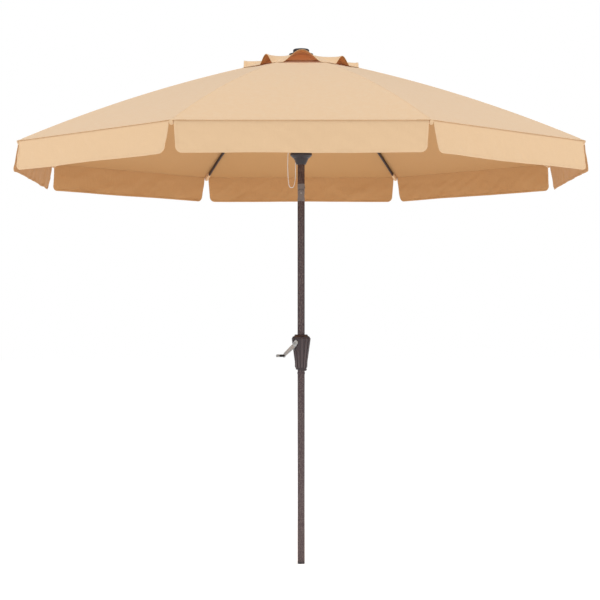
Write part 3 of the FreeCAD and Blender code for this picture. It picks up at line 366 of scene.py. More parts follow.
class HardSurface:
    """What coated metal and moulded plastic share."""

    def surface(
        self,
        worn: Colour,
        dust: Colour,
        shade: float,
        wear: float,
        settled: float,
        swing: tuple[float, float],
        relief: float,
    ) -> bpy.types.Node:
        """Build the material: grain, slow tone changes, rubbed edges and dust.

        Args:
            worn: The colour under the rubbed edges.
            dust: The dust's colour.
            shade: How dark the darker tone is, as a share of the colour.
            wear: How much the edges are rubbed.
            settled: How much dust has settled.
            swing: How far the roughness falls and rises.
            relief: The grain's strength.

        Returns:
            The material's shader.
        """
        graph, shader, place = blank_material(self.name)
        where = place.outputs["Object"]
        grain = use_effect(graph, grain_effect(), {"Vector": where, "Density": self.density})
        rubbed = use_effect(graph, wear_effect(), {"Vector": where, "Amount": wear})
        dusty = use_effect(graph, dust_effect(), {"Vector": where, "Amount": settled})
        deep = tuple(part * shade for part in self.colour)
        colour = graph.colour_mix(grain.outputs["Tone"], deep, self.colour)
        colour = graph.colour_mix(rubbed.outputs["Mask"], colour, worn)
        colour = graph.colour_mix(dusty.outputs["Mask"], colour, dust)
        low, high = self.roughness - swing[0], self.roughness + swing[1]
        graph.paint(shader, colour, graph.spread(grain.outputs["Tone"], low, high))
        bump(graph, shader, (grain.outputs["Height"], relief, 0.0002))
        return shader


@dataclass(frozen=True)
class PowderCoat(HardSurface):
    """Powder coat baked on a metal tube."""

    name: str
    colour: Colour
    worn: Colour
    roughness: float
    metallic: float = 0.0
    wear: float = 0.4
    density: float = 700.0

    def make(self) -> bpy.types.Material:
        """Build the material, with an orange-peel grain."""
        shader = self.surface(
            self.worn,
            COAT_DUST,
            shade=0.93,
            wear=self.wear,
            settled=0.25,
            swing=(0.07, 0.07),
            relief=0.10,
        )
        set_shader(shader, Metallic=self.metallic, Specular_IOR_Level=0.4)
        return bpy.data.materials[self.name]


@dataclass(frozen=True)
class Moulded(HardSurface):
    """Injection-moulded plastic with a fine etched grain."""

    name: str
    colour: Colour
    roughness: float
    density: float = 1300.0
    relief: float = 0.16
    scuff: Colour = (0.22, 0.20, 0.19)

    def make(self) -> bpy.types.Material:
        """Build the material, with scuffed edges."""
        shader = self.surface(
            self.scuff,
            PLASTIC_DUST,
            shade=0.82,
            wear=0.35,
            settled=0.2,
            swing=(0.06, 0.08),
            relief=self.relief,
        )
        set_shader(shader, Specular_IOR_Level=0.45)
        return bpy.data.materials[self.name]


@dataclass(frozen=True)
class BareMetal:
    """Plated or brushed metal."""

    name: str
    colour: Colour
    roughness: float
    stretch: tuple[float, float, float] = (900.0, 900.0, 60.0)
    metallic: float = 1.0

    def make(self) -> bpy.types.Material:
        """Build the material: fine drawn scratches and clouded patches."""
        graph, shader, place = blank_material(self.name)
        where = place.outputs["Object"]
        scratches = graph.noise(graph.stretched(where, self.stretch), 1.0, 3)
        grain = use_effect(graph, grain_effect(), {"Vector": where, "Density": 260.0})
        dull = tuple(part * 0.78 for part in self.colour)
        toned = graph.colour_mix(grain.outputs["Tone"], dull, self.colour)
        graph.paint(shader, toned, graph.spread(scratches, self.roughness * 0.6, self.roughness * 1.5))
        set_shader(shader, Metallic=self.metallic)
        bump(graph, shader, (scratches, 0.12, 0.0001))
        return bpy.data.materials[self.name]


@dataclass(frozen=True)
class Braid:
    """Braided polyester cord."""

    name: str
    colour: Colour
    # Painted shade: the colour of the grooves between the strands.
    painted_groove_shade: Colour
    lay: float = 0.006
    by_uv: bool = True

    def make(self) -> bpy.types.Material:
        """Build the material, on the cord's own UV or on height where it hangs straight."""
        graph, shader, place = blank_material(self.name)
        where = place.outputs["UV"]
        if not self.by_uv:
            parts = graph.add("ShaderNodeSeparateXYZ", {0: place.outputs["Object"]}).outputs
            side = graph.maths("MULTIPLY", parts[1], 110.0)
            where = graph.add("ShaderNodeCombineXYZ", {0: side, 1: parts[2]}).outputs[0]
        braid = use_effect(graph, braid_effect(), {"Vector": where, "Lay": self.lay})
        # Painted shade: the cord is darker where the braid is low, in the grooves between its strands.
        toned = graph.colour_mix(graph.edge(braid.outputs[0], 0.1, 0.8), self.painted_groove_shade, self.colour)
        graph.tree.links.new(toned, shader.inputs["Base Color"])
        set_shader(shader, Roughness=0.75, Sheen_Weight=0.3, Specular_IOR_Level=0.3)
        bump(graph, shader, (braid.outputs[0], 0.6, 0.0004))
        return bpy.data.materials[self.name]


class Finish(Enum):
    """Every finish on the umbrella, with copies of the canvas that carry painted light and shade."""

    CANVAS_TOP = Canvas("canvas_top", (0.790, 0.555, 0.335), (0.740, 0.505, 0.300), sheen=0.30)
    # Painted shade and painted transmitted light: the canopy's underside is the same canvas as its
    # top, given a darker, warmer colour.
    CANVAS_UNDER = Canvas("canvas_under_painted_shade", (0.560, 0.310, 0.128), (0.520, 0.280, 0.112))
    # Painted shade and painted transmitted light: the back of the valance is the same canvas as its
    # front, given a darker, warmer colour.
    VALANCE_BACK = Canvas("valance_back_painted_shade", (0.630, 0.360, 0.158), (0.585, 0.325, 0.140))
    # Painted shade and painted glow: the vent cap's underside is the same canvas, given a darker,
    # redder colour and a glow that stands in for daylight through the cap.
    VENT_UNDER = Canvas("vent_under_painted_light", (0.660, 0.300, 0.110), (0.560, 0.240, 0.080), glow=0.16)
    # Painted light: the netting's brown colour and its glow stand in for daylight that comes through
    # the cap above.
    NETTING = Canvas("vent_netting", (0.700, 0.330, 0.130), (0.500, 0.200, 0.070), 0.0016, glow=0.30)
    THREAD = Canvas("sewing_thread", (0.760, 0.560, 0.360), (0.700, 0.500, 0.320), 0.0004)
    POLE = PowderCoat("pole_bronze_coat", (0.085, 0.056, 0.062), (0.30, 0.25, 0.22), 0.24, 0.55)
    RIBS = PowderCoat("rib_bronze_coat", (0.050, 0.036, 0.038), (0.28, 0.23, 0.20), 0.40, 0.2)
    TILT = Moulded("tilt_grey_plastic", (0.235, 0.205, 0.200), 0.38, 1600.0, 0.12)
    HOUSING = Moulded("housing_plastic", (0.050, 0.032, 0.036), 0.33, 1100.0, 0.14)
    # Painted highlight: the raised flutes are a lighter copy of the housing's plastic, standing in for
    # the light that they catch.
    FLUTES = Moulded("housing_flute_painted_highlight", (0.092, 0.064, 0.068), 0.28, 1100.0, 0.10)
    PLASTIC = Moulded("hub_plastic", (0.030, 0.022, 0.026), 0.42, 1100.0, 0.18)
    GRIP = Moulded("grip_rubber", (0.018, 0.017, 0.018), 0.5, 1500.0, 0.3)
    CAP = Moulded("grip_cap_plastic", (0.36, 0.36, 0.35), 0.45, 1200.0, 0.1, (0.5, 0.5, 0.48))
    NYLON = Moulded("white_nylon", (0.72, 0.71, 0.68), 0.45, 900.0, 0.1, (0.6, 0.58, 0.55))
    CHROME = BareMetal("crank_satin_plate", (0.60, 0.61, 0.61), 0.44, (120.0, 120.0, 120.0), 0.45)
    STEEL = BareMetal("brushed_steel", (0.58, 0.57, 0.55), 0.30)
    CORD = Braid("braided_cord", (0.90, 0.89, 0.86), (0.62, 0.60, 0.56))
    STRAIGHT_CORD = Braid("lift_cord", (0.90, 0.89, 0.86), (0.62, 0.60, 0.56), 0.006, False)

    def material(self) -> bpy.types.Material:
        """The finish's material, made when it is first asked for."""
        return bpy.data.materials.get(self.value.name) or self.value.make()


# --- making and placing pieces ---
def pick(piece: bpy.types.Object) -> None:
    """Deselect everything else and make this piece the active one."""
    bpy.ops.object.select_all(action="DESELECT")
    piece.select_set(True)
    bpy.context.view_layer.objects.active = piece


def apply_modifier(piece: bpy.types.Object, kind: str, **settings: object) -> None:
    """Add a modifier to a piece and apply it."""
    pick(piece)
    modifier = piece.modifiers.new(kind.lower(), kind)
    for name, value in settings.items():
        setattr(modifier, name, value)
    bpy.ops.object.modifier_apply(modifier=modifier.name)


def dress(
    piece: bpy.types.Object, finishes: Sequence[Finish], smooth: float = SHEET_ANGLE
) -> bpy.types.Object:
    """Give a piece its finishes and its smooth shading."""
    indices = [polygon.material_index for polygon in piece.data.polygons]
    piece.data.materials.clear()
    for finish in finishes:
        piece.data.materials.append(finish.material())
    piece.data.polygons.foreach_set("material_index", indices)
    pick(piece)
    bpy.ops.object.shade_smooth_by_angle(angle=math.radians(smooth))
    return piece


def report(piece: bpy.types.Object, body: str) -> None:
    """Log a finished piece."""
    LOG.info("%s rides on %s, %d faces", piece.name, body, len(piece.data.polygons))


class Patch:
    """Faces being laid out by code for a soft piece, with the cloth's flat place of each corner."""

    def __init__(self) -> None:
        """Start with nothing."""
        self.points: list[Vector] = []
        self.faces: list[tuple[int, ...]] = []
        self.flats: list[tuple[float, float]] = []

    def face(self, corners: Sequence[int], flats: Sequence[tuple[float, float]]) -> None:
        """Add one face by its corners, with the flat place of each."""
        self.faces.append(tuple(corners))
        self.flats.extend(flats)

    def grid(self, rows: Sequence[Sequence[Vector]], flat: Callable) -> None:
        """Add a sheet of quads.

        Args:
            rows: The points, row by row.
            flat: A function of (row, column, quad's column) that gives a flat place.
        """
        start, width = len(self.points), len(rows[0])
        self.points.extend(point for row in rows for point in row)
        for i in range(len(rows) - 1):
            for j in range(width - 1):
                places = ((i, j), (i, j + 1), (i + 1, j + 1), (i + 1, j))
                self.face(
                    [start + row * width + column for row, column in places],
                    [flat(row, column, j) for row, column in places],
                )

    def band(self, path: Sequence[Vector], frames: Sequence[tuple], section: Sequence) -> None:
        """Sweep a closed section along a path and close its ends.

        Args:
            path: The points that the band follows.
            frames: The (inward, normal) directions at each point.
            section: The section's (inward, normal) points, in metres.
        """
        start, count = len(self.points), len(section)
        lengths = [0.0]
        for before, after in zip(path, path[1:]):
            lengths.append(lengths[-1] + (after - before).length)
        for point, (inward, normal) in zip(path, frames):
            self.points.extend(point + inward * a + normal * b for a, b in section)
        for i in range(len(path) - 1):
            for j in range(count):
                low, high = start + i * count, start + (i + 1) * count
                step = (j + 1) % count
                across = [section[j][0], section[step][0]]
                self.face(
                    (low + j, low + step, high + step, high + j),
                    [
                        (across[0], lengths[i]),
                        (across[1], lengths[i]),
                        (across[1], lengths[i + 1]),
                        (across[0], lengths[i + 1]),
                    ],
                )
        last = start + (len(path) - 1) * count
        self.face([start + j for j in reversed(range(count))], list(section)[::-1])
        self.face([last + j for j in range(count)], list(section))

    def stitches(self, path: Sequence[Vector], frames: Sequence[tuple], seam: "Stitch") -> None:
        """Lay a row of stitches along a path, each a slim bead pressed into the cloth."""
        carry = seam.pitch / 2
        for i, (before, after) in enumerate(zip(path, path[1:])):
            span = after - before
            run = span.length
            if run < 1e-6:
                continue
            forward = span / run
            across, normal = frames[i]
            while carry < run:
                centre = before + forward * carry
                corner = len(self.points)
                self.points.extend(
                    [
                        centre - forward * seam.length / 2,
                        centre + across * seam.width / 2,
                        centre + forward * seam.length / 2,
                        centre - across * seam.width / 2,
                        centre + normal * seam.height,
                        centre - normal * seam.height / 2,
                    ]
                )
                for a, b in ((0, 1), (1, 2), (2, 3), (3, 0)):
                    for tip, order in ((4, (b, a)), (5, (a, b))):
                        flats = [(0.0, 0.0), (0.001, 0.0), (0.0, 0.001)]
                        self.face([corner + order[0], corner + order[1], corner + tip], flats)
                carry += seam.pitch
            carry -= run

    def piece(self, name: str) -> bpy.types.Object:
        """Turn the faces into an object, with the cloth's flat places as its UV."""
        mesh = bpy.data.meshes.new(name)
        mesh.from_pydata([tuple(point) for point in self.points], [], self.faces)
        layer = mesh.uv_layers.new(name="cloth")
        layer.data.foreach_set("uv", [part for flat in self.flats for part in flat])
        mesh.validate()
        made = bpy.data.objects.new(name, mesh)
        bpy.context.scene.collection.objects.link(made)
        return made


@dataclass(frozen=True)
class Stitch:
    """A sewing stitch's size."""

    pitch: float = 0.0052
    length: float = 0.0036
    width: float = 0.0011
    height: float = 0.0005


def thicken(piece: bpy.types.Object, thickness: float) -> bpy.types.Object:
    """Give a sheet its thickness. The side away from its normals takes the second finish."""
    for _ in range(2):
        piece.data.materials.append(None)
    apply_modifier(piece, "SOLIDIFY", thickness=thickness, offset=-1.0, material_offset=1)
    return piece


def edit_all(piece: bpy.types.Object, *steps: Callable) -> None:
    """Run these steps in edit mode, with the whole of a piece selected."""
    pick(piece)
    bpy.ops.object.mode_set(mode="EDIT")
    bpy.ops.mesh.select_all(action="SELECT")
    for step in steps:
        step()
    bpy.ops.object.mode_set(mode="OBJECT")


def recalculate(piece: bpy.types.Object) -> None:
    """Make a piece's normals agree, outwards where it is closed."""
    edit_all(piece, lambda: bpy.ops.mesh.normals_make_consistent(inside=False))


def face_towards(piece: bpy.types.Object, facing: Vector) -> None:
    """Turn a sheet's normals over where they point away from this direction."""
    if piece.data.polygons[0].normal.dot(facing) < 0:
        edit_all(piece, bpy.ops.mesh.flip_normals)


def dress_edging(
    hems: bpy.types.Object, stitching: bpy.types.Object, back: Finish, facing: Vector
) -> list[bpy.types.Object]:
    """Finish a sheet's hems and stitching.

    Args:
        hems: The hems, which show the top's finish on the side that faces this way.
        stitching: The stitches on them.
        back: The finish of the hems' other side, a copy of the canvas with painted shade.
        facing: The direction that the top faces.

    Returns:
        The hems and the stitching.
    """
    recalculate(hems)
    recalculate(stitching)
    dress(hems, (Finish.CANVAS_TOP, back), HEM_ANGLE)
    # Faces turned away from the top take the back finish, which carries painted shade.
    for polygon in hems.data.polygons:
        polygon.material_index = int(polygon.normal.dot(facing) < -0.1)
    dress(stitching, (Finish.THREAD,), THREAD_ANGLE)
    return [hems, stitching]


def hem_section(width: float, thickness: float) -> list[tuple[float, float]]:
    """A folded hem's section: a flat loop of cloth with round edges."""
    half = thickness / 2
    return [
        (-half, 0),
        (-half * 0.7, -half * 0.8),
        (half, -half),
        (width - half, -half),
        (width, -half * 0.5),
        (width, half * 0.5),
        (width - half, half),
        (half, half),
        (-half * 0.7, half * 0.8),
    ]


def evenly(first: float, last: float, count: int) -> list[float]:
    """This many numbers from first to last."""
    return [first + (last - first) * i / (count - 1) for i in range(count)]


# --- canopy ---
@dataclass
class Canopy:
    """The eight-panel canopy and its vent cap: cloth beside each rib, to the middle of its panels.

    A place on the cloth is a rib's index, the corner radius of a level line across the panels,
    and how far along that line it is: 0 on the rib and -1 or 1 in the middle of a panel.
    """

    corner: Vector
    arc: float = 7.6
    rim_slope: float = math.radians(24.7)
    vent_radius: float = 0.200
    cap_inner: float = 0.052
    cap_radius: float = 0.326
    cap_top: float = 2.689
    cap_lap: float = 0.0022
    arch_halves: tuple = (0.058, 0.064, 0.058, 0.062, 0.047, 0.100, 0.052, 0.060)
    arch_lifts: tuple = (0.046, 0.050, 0.047, 0.054, 0.050, 0.064, 0.045, 0.044)
    arch_shifts: tuple = (0.0, 0.014, -0.010, 0.0, 0.046, 0.004, 0.0, 0.0)
    liner_inner: float = 0.060
    liner_outer: float = 0.212
    pleat: float = 0.0020
    pleats: int = 11
    cloth: float = 0.0010
    sag: float = 0.0045
    ripple: float = 0.0011
    hem: float = 0.012
    hem_thickness: float = 0.0030
    seam_half: float = 0.0065
    cap_bow: float = 0.012
    pocket_length: float = 0.058
    pocket_drop: float = 0.0125
    pocket_half_width: float = 0.0088
    pocket_half_depth: float = 0.0112
    pocket_squareness: float = 0.62
    fold_keep: float = 0.20
    cap_keep: float = 0.30
    rows: int = 52
    columns: int = 18

    def __post_init__(self) -> None:
        """Work out the arc that the cloth follows along a rib."""
        self.rim_radius = self.corner.to_2d().length
        self.centre_radius = self.rim_radius - self.arc * math.sin(self.rim_slope)
        self.centre_height = self.corner.z - self.arc * math.cos(self.rim_slope)

    def height(self, radius: float) -> float:
        """Height of the cloth's top on a rib."""
        run = radius - self.centre_radius
        return self.centre_height + math.sqrt(self.arc**2 - run**2)

    def level_point(self, index: int, side: float, radius: float, height: float) -> Vector:
        """A point on the level line across the panels beside a rib."""
        azimuth = rib_azimuth(index)
        along = radius * (1 - abs(side) * SIN_HALF**2)
        across = radius * side * SIN_HALF * COS_HALF
        return outward(azimuth) * along + tangent(azimuth) * across + UP * height

    def cloth_point(self, index: int, side: float, radius: float) -> Vector:
        """A point on the main cloth, which sags a little and is never quite smooth."""
        point = self.level_point(index, side, radius, self.height(radius))
        share = (radius - self.vent_radius) / (self.rim_radius - self.vent_radius)
        swell = math.sin(math.pi * min(1.0, max(0.0, share))) ** 0.5 if 0 < share < 1 else 0.0
        away = math.sin(math.pi * min(abs(side), 1.0) / 2)
        point.z -= self.sag * away * swell
        place = Vector((point.x * 5.0, point.y * 5.0, 0.4))
        point.z += self.ripple * away * swell * noise.fractal(place, 1.0, 2.0, 2)
        return point

    def cap_point(self, index: int, side: float, radius: float) -> Vector:
        """A point on the vent cap, whose edge lifts into an arch in each panel."""
        share = (radius - self.cap_inner) / (self.cap_radius - self.cap_inner)
        foot = self.height(self.cap_radius) + self.cap_lap
        height = self.cap_top + (foot - self.cap_top) * share
        height += self.cap_bow * share * (1 - share)
        panel = (index if side > 0 else index - 1) % RIB_COUNT
        hand = -1.0 if side > 0 else 1.0
        out = radius / self.cap_radius
        along = hand * (1 - abs(side)) * radius * SIN_HALF
        from_middle = abs(along - self.arch_shifts[panel] * out)
        reach = self.arch_halves[panel] * (0.55 + 0.45 * out)
        if from_middle < reach:
            peak = math.cos(math.pi * from_middle / (2 * reach)) ** 1.4
            height += self.arch_lifts[panel] * peak * max(0.0, share) ** 2.1
        return self.level_point(index, side, radius, height)

    def liner_point(self, index: int, side: float, radius: float) -> Vector:
        """A point on the pleated netting that closes the vent under the cap."""
        share = (radius - self.liner_inner) / (self.liner_outer - self.liner_inner)
        low = self.height(self.liner_outer) + 0.0012
        pleat = self.pleat * math.sin(share * self.pleats * math.pi) * (1 - share)
        height = self.cap_top - 0.008 + (low - self.cap_top + 0.008) * share + pleat
        return self.level_point(index, side, radius, height)

    def sides(self) -> list[float]:
        """The columns of a sheet, closer beside the rib so that its ridge stays crisp."""
        beside = evenly(1.0, 0.0, self.columns + 1)[:-1] + [0.008]
        return [-side for side in beside] + [0.0] + beside[::-1]

    def normal(self, surface: Callable, index: int, side: float, radius: float) -> Vector:
        """The direction out of the cloth at a place."""
        step = 0.0008
        run = surface(index, side, radius + step) - surface(index, side, radius - step)
        shift = step if side < 0 else -step
        other = surface(index, side + shift, radius) - surface(index, side, radius)
        found = run.cross(other).normalized()
        return found if found.z > 0 else -found

    def sheet(
        self, name: str, index: int, surface: Callable, radii: list, finishes: tuple
    ) -> tuple[bpy.types.Object, float]:
        """Make one sheet of cloth on both sides of a rib.

        Args:
            name: The piece's name.
            index: The rib's index.
            surface: cloth_point, cap_point or liner_point.
            radii: The level lines, from the inside out.
            finishes: The finish of the side that faces up, and of the one that faces down.

        Returns:
            The piece and the area of its flat cloth.
        """
        sides = self.sides()
        middle = sides.index(0.0)

        def flat(row: int, column: int, quad: int) -> tuple[float, float]:
            """Metres from the middle of the panel, and from the pole."""
            hand = 1.0 if quad >= middle else -1.0
            return (hand * (1 - abs(sides[column])) * radii[row] * SIN_HALF, radii[row])

        patch = Patch()
        patch.grid([[surface(index, side, radius) for side in sides] for radius in radii], flat)
        piece = patch.piece(name)
        recalculate(piece)
        face_towards(piece, UP)
        area = sum(polygon.area for polygon in piece.data.polygons)
        dress(thicken(piece, self.cloth), finishes)
        return piece, area

    def edge_run(self, surface: Callable, index: int, hand: int, radius: float, step: int) -> tuple:
        """A level line's points on one side of a rib, with the frames for a hem inside it."""
        path, frames = [], []
        for side in evenly(0.0, hand * 1.0, step):
            point = surface(index, side, radius)
            inner = surface(index, side, radius * 0.985) - point
            path.append(point)
            frames.append((inner.normalized(), self.normal(surface, index, side, radius)))
        return path, frames

    def seam_run(self, surface: Callable, index: int, radii: list, offset: float) -> tuple:
        """The points of a line that runs beside a rib, with their frames."""
        path, frames = [], []
        azimuth = rib_azimuth(index)
        for radius in radii:
            side = offset / (radius * SIN_HALF * COS_HALF)
            path.append(surface(index, side, radius))
            frames.append((tangent(azimuth), self.normal(surface, index, side or 0.01, radius)))
        return path, frames

    def ridge_seam(self, patch: Patch, surface: Callable, index: int, radii: list) -> None:
        """The folded seam that joins two panels over a rib."""
        offsets = (-1.0, -0.85, -0.45, 0.0, 0.45, 0.85, 1.0)
        lifts = (-0.0003, 0.0006, 0.0009, 0.0010, 0.0009, 0.0006, -0.0003)
        rows = []
        for radius in radii:
            row = []
            for offset, lift in zip(offsets, lifts):
                side = offset * self.seam_half / (radius * SIN_HALF * COS_HALF)
                row.append(surface(index, side, radius) + UP * lift)
            under = [point - UP * 0.0012 for point in (row[0], row[-1])]
            rows.append([under[0], *row, under[1]])
        width = len(rows[0])
        spans = [i * 2 * self.seam_half / width for i in range(width)]
        patch.grid([row + row[:1] for row in rows], lambda i, j, quad: (spans[j % width], radii[i]))

    def trim(self, name: str, index: int, surface: Callable, radii: list, outer: float) -> list:
        """The seam, the hems and the stitching of a sheet, which move as the sheet does."""
        cloth, thread = Patch(), Patch()
        self.ridge_seam(cloth, surface, index, radii)
        for offset in (-0.62, 0.62):
            path, frames = self.seam_run(surface, index, radii, offset * self.seam_half)
            raised = [point + UP * 0.0008 for point in path]
            thread.stitches(raised, frames, Stitch())
        for hand in (-1, 1):
            for radius, width in ((radii[0], self.hem * 0.7), (outer, self.hem)):
                path, frames = self.edge_run(surface, index, hand, radius, 26)
                if radius == radii[0]:
                    frames = [(-inward, normal) for inward, normal in frames]
                cloth.band(path, frames, hem_section(width, self.hem_thickness))
                inset = [
                    point + inward * width * 0.8 + normal * 0.0015
                    for point, (inward, normal) in zip(path, frames)
                ]
                thread.stitches(inset, frames, Stitch())
        hems = cloth.piece(f"{name}_hems_{index + 1}")
        stitching = thread.piece(f"{name}_stitching_{index + 1}")
        return dress_edging(hems, stitching, Finish.CANVAS_UNDER, UP)

    def pocket(self, index: int) -> bpy.types.Object:
        """The cloth pocket under a corner that holds the rib's tip."""
        patch = Patch()
        azimuth = rib_azimuth(index)
        across = tangent(azimuth)
        tip = self.rim_radius - 0.0035
        path, frames = [], []
        for radius in evenly(tip - self.pocket_length, tip, 9):
            slope = (self.height(radius + 0.001) - self.height(radius)) / 0.001
            along = (outward(azimuth) + UP * slope).normalized()
            path.append(outward(azimuth) * radius + UP * (self.height(radius) - self.pocket_drop))
            frames.append((across, across.cross(along) * -1))
        section = []
        for turn in evenly(0.0, 2 * math.pi, 25)[:-1]:
            wide, deep = (
                half * math.copysign(abs(part) ** self.pocket_squareness, part)
                for half, part in (
                    (self.pocket_half_width, math.cos(turn)),
                    (self.pocket_half_depth, math.sin(turn)),
                )
            )
            section.append((wide, deep))
        patch.band(path, frames, section)
        piece = patch.piece(f"rib_tip_pocket_{index + 1}")
        recalculate(piece)
        return dress(piece, (Finish.CANVAS_TOP,), HEM_ANGLE)

    def fold(self, piece: bpy.types.Object, index: int, keep: float) -> None:
        """Let a piece of cloth move with its rib."""
        body = f"rib_arm_{index + 1}"
        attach(piece, body)
        azimuth = rib_azimuth(index)
        anchor = outward(azimuth) + UP * self.height(1.0)
        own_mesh(piece)
        report(piece, body)

    def build(self) -> None:
        """Make every piece of the canopy and of the vent cap."""
        radii = evenly(self.vent_radius, self.rim_radius, self.rows)
        cap_radii = evenly(self.cap_inner, self.cap_radius, 26)
        liner_radii = evenly(self.liner_inner, self.liner_outer, 60)
        for index in range(RIB_COUNT):
            number = index + 1
            cloth = (Finish.CANVAS_TOP, Finish.CANVAS_UNDER)
            # The cap's underside takes the copy of the canvas with painted shade and painted glow, not
            # a separate lining.
            cap_top_and_painted_under = (Finish.CANVAS_TOP, Finish.VENT_UNDER)
            net = (Finish.NETTING, Finish.NETTING)
            panel, area = self.sheet(f"canopy_panel_{number}", index, self.cloth_point, radii, cloth)
            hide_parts(f"canopy_gore_{number}")
            trim = self.trim("canopy", index, self.cloth_point, radii[1:-1], self.rim_radius)
            cap, cap_area = self.sheet(f"vent_cap_{number}", index, self.cap_point, cap_radii, cap_top_and_painted_under)
            liner, _ = self.sheet(
                f"vent_netting_{number}", index, self.liner_point, liner_radii, net
            )
            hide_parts(f"canopy_gore_{number}")
            cap_trim = self.trim("vent_cap", index, self.cap_point, cap_radii[1:-1], self.cap_radius)
            pocket = self.pocket(index)
            for piece in (panel, *trim):
                self.fold(piece, index, self.fold_keep)
            for piece in (cap, liner, *cap_trim):
                self.fold(piece, index, self.cap_keep)
            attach(pocket, f"rib_arm_{number}")
            report(pocket, f"rib_arm_{number}")


# --- valance ---
@dataclass
class Valance:
    """The hanging flaps below the rim, in halves that each move with a corner."""

    canopy: Canopy
    drop: float = 0.145
    corner_gap: float = 0.0145
    taper: float = 0.0105
    corner_round: float = 0.026
    under_rim: float = 0.0008
    set_back: float = 0.0024
    flare: float = 0.013
    corner_flare: float = 0.011
    wave: float = 0.0046
    crumple: float = 0.0016
    crease: float = 0.0026
    crease_lean: tuple = (0.82, 0.57)
    hem: float = 0.010
    hem_thickness: float = 0.0028
    columns: int = 40
    rows: int = 15
    fold_keep: float = 0.061

    def side_limit(self, down: float) -> float:
        """How far a flap reaches from the panel's middle, this far below its top."""
        width = self.canopy.rim_radius * SIN_HALF - self.corner_gap
        edge = width - self.taper * down / self.drop
        below = down - (self.drop - self.corner_round)
        if below <= 0:
            return edge
        inside = max(0.0, self.corner_round**2 - below**2)
        return edge - self.corner_round + math.sqrt(inside)

    def surface(self, panel: int, across: float, down: float) -> Vector:
        """A point of a flap, by its distance from the panel's middle and below the top."""
        azimuth = 2 * HALF_STEP * (panel + 1)
        face = self.canopy.rim_radius * COS_HALF - self.set_back
        share = max(0.0, down / self.drop)
        phase = panel % RIB_COUNT
        place = Vector((across * 6.0, share * 0.9, 11.3 * phase))
        broad = math.sin(across * 8.0 + 1.9 * phase)
        loose = 0.45 * broad + 1.5 * noise.fractal(place, 1.0, 2.0, 3)
        crumple = Vector((across * 26.0, share * 2.6, 5.1 * phase))
        to_corner = (abs(across) / (self.canopy.rim_radius * SIN_HALF)) ** 5
        out = (self.flare + self.corner_flare * to_corner) * share**1.6
        out += self.wave * share**1.2 * loose
        free = min(1.0, share * 3)
        out += self.crumple * free * noise.fractal(crumple, 1.0, 2.0, 2)
        near, far = self.crease_lean
        slant = (across * near + down * far, across * -far + down * near)
        crease = Vector((slant[0] * 5.0, slant[1] * 24.0, 3.7 * phase))
        out += self.crease * free * noise.ridged_multi_fractal(crease, 1.0, 2.0, 2, 1.0, 2.0)
        top = self.canopy.corner.z - self.under_rim
        return (
            outward(azimuth) * (face + out)
            + tangent(azimuth) * across
            + UP * (top - down + 0.0012 * share * broad)
        )

    def normal(self, panel: int, across: float, down: float) -> Vector:
        """The direction out of the cloth."""
        step = 0.002
        wide = self.surface(panel, across + step, down) - self.surface(panel, across - step, down)
        deep = self.surface(panel, across, down + step) - self.surface(panel, across, down - step)
        return deep.cross(wide).normalized()

    def depths(self) -> list[float]:
        """The rows of a flap, closer where its corner is round."""
        straight = evenly(0.0, self.drop - self.corner_round, self.rows)
        turns = evenly(0.0, math.pi / 2, 9)[1:]
        low = self.drop - self.corner_round
        return straight + [low + self.corner_round * math.sin(turn) for turn in turns]

    def flap(self, index: int, hand: int) -> tuple[list[bpy.types.Object], float]:
        """Make half a flap with its hem and stitching.

        Args:
            index: The rib's index.
            hand: 1 for the panel past the rib, and -1 for the one before it.

        Returns:
            The cloth, its hem and its stitching, and the area of the flat cloth.
        """
        panel = index if hand > 0 else index - 1
        depths = self.depths()
        shares = evenly(0.0, 1.0, self.columns + 1)
        rows = []
        for down in depths:
            limit = self.side_limit(down) * -hand
            rows.append([self.surface(panel, limit * share, down) for share in shares])
        patch = Patch()
        patch.grid(
            rows, lambda i, j, quad: (self.side_limit(depths[i]) * shares[j] * -hand, depths[i])
        )
        letter = "b" if hand > 0 else "a"
        cloth = patch.piece(f"valance_{index + 1}{letter}")
        face_towards(cloth, outward(2 * HALF_STEP * (panel + 1)))
        area = sum(polygon.area for polygon in cloth.data.polygons)
        # The flap's back takes the copy of the canvas with painted shade.
        finishes = (Finish.CANVAS_TOP, Finish.VALANCE_BACK)
        dress(thicken(cloth, self.canopy.cloth), finishes)
        return [cloth, *self.edging(index, letter, panel, -hand)], area

    def edging(self, index: int, letter: str, panel: int, hand: int) -> list[bpy.types.Object]:
        """The hem along the bottom, round the corner and up the side, and its stitches."""
        places = [(share, self.drop) for share in evenly(0.0, self.side_limit(self.drop), 44)]
        places += [(self.side_limit(down), down) for down in self.depths()[-2::-1]]
        path = [self.surface(panel, across * hand, down) for across, down in places]
        frames = []
        for i, (across, down) in enumerate(places):
            before, after = path[max(0, i - 1)], path[min(len(path) - 1, i + 1)]
            normal = self.normal(panel, across * hand, min(down, self.drop - 0.003))
            forward = (after - before).normalized()
            frames.append((normal.cross(forward).normalized() * hand, normal))
        middle = self.surface(panel, 0.0, self.drop / 2)
        if (path[0] + frames[0][0] - middle).length > (path[0] - frames[0][0] - middle).length:
            frames = [(-inward, normal) for inward, normal in frames]
        lowered = [point - normal * 0.0005 for point, (_, normal) in zip(path, frames)]
        band, row = Patch(), Patch()
        band.band(lowered, frames, hem_section(self.hem, self.hem_thickness))
        sewn = [
            point + inward * self.hem * 0.78 + normal * 0.0010
            for point, (inward, normal) in zip(path, frames)
        ]
        row.stitches(sewn, frames, Stitch())
        hem = band.piece(f"valance_hem_{index + 1}{letter}")
        stitching = row.piece(f"valance_stitching_{index + 1}{letter}")
        facing = outward(2 * HALF_STEP * (panel + 1))
        return dress_edging(hem, stitching, Finish.VALANCE_BACK, facing)

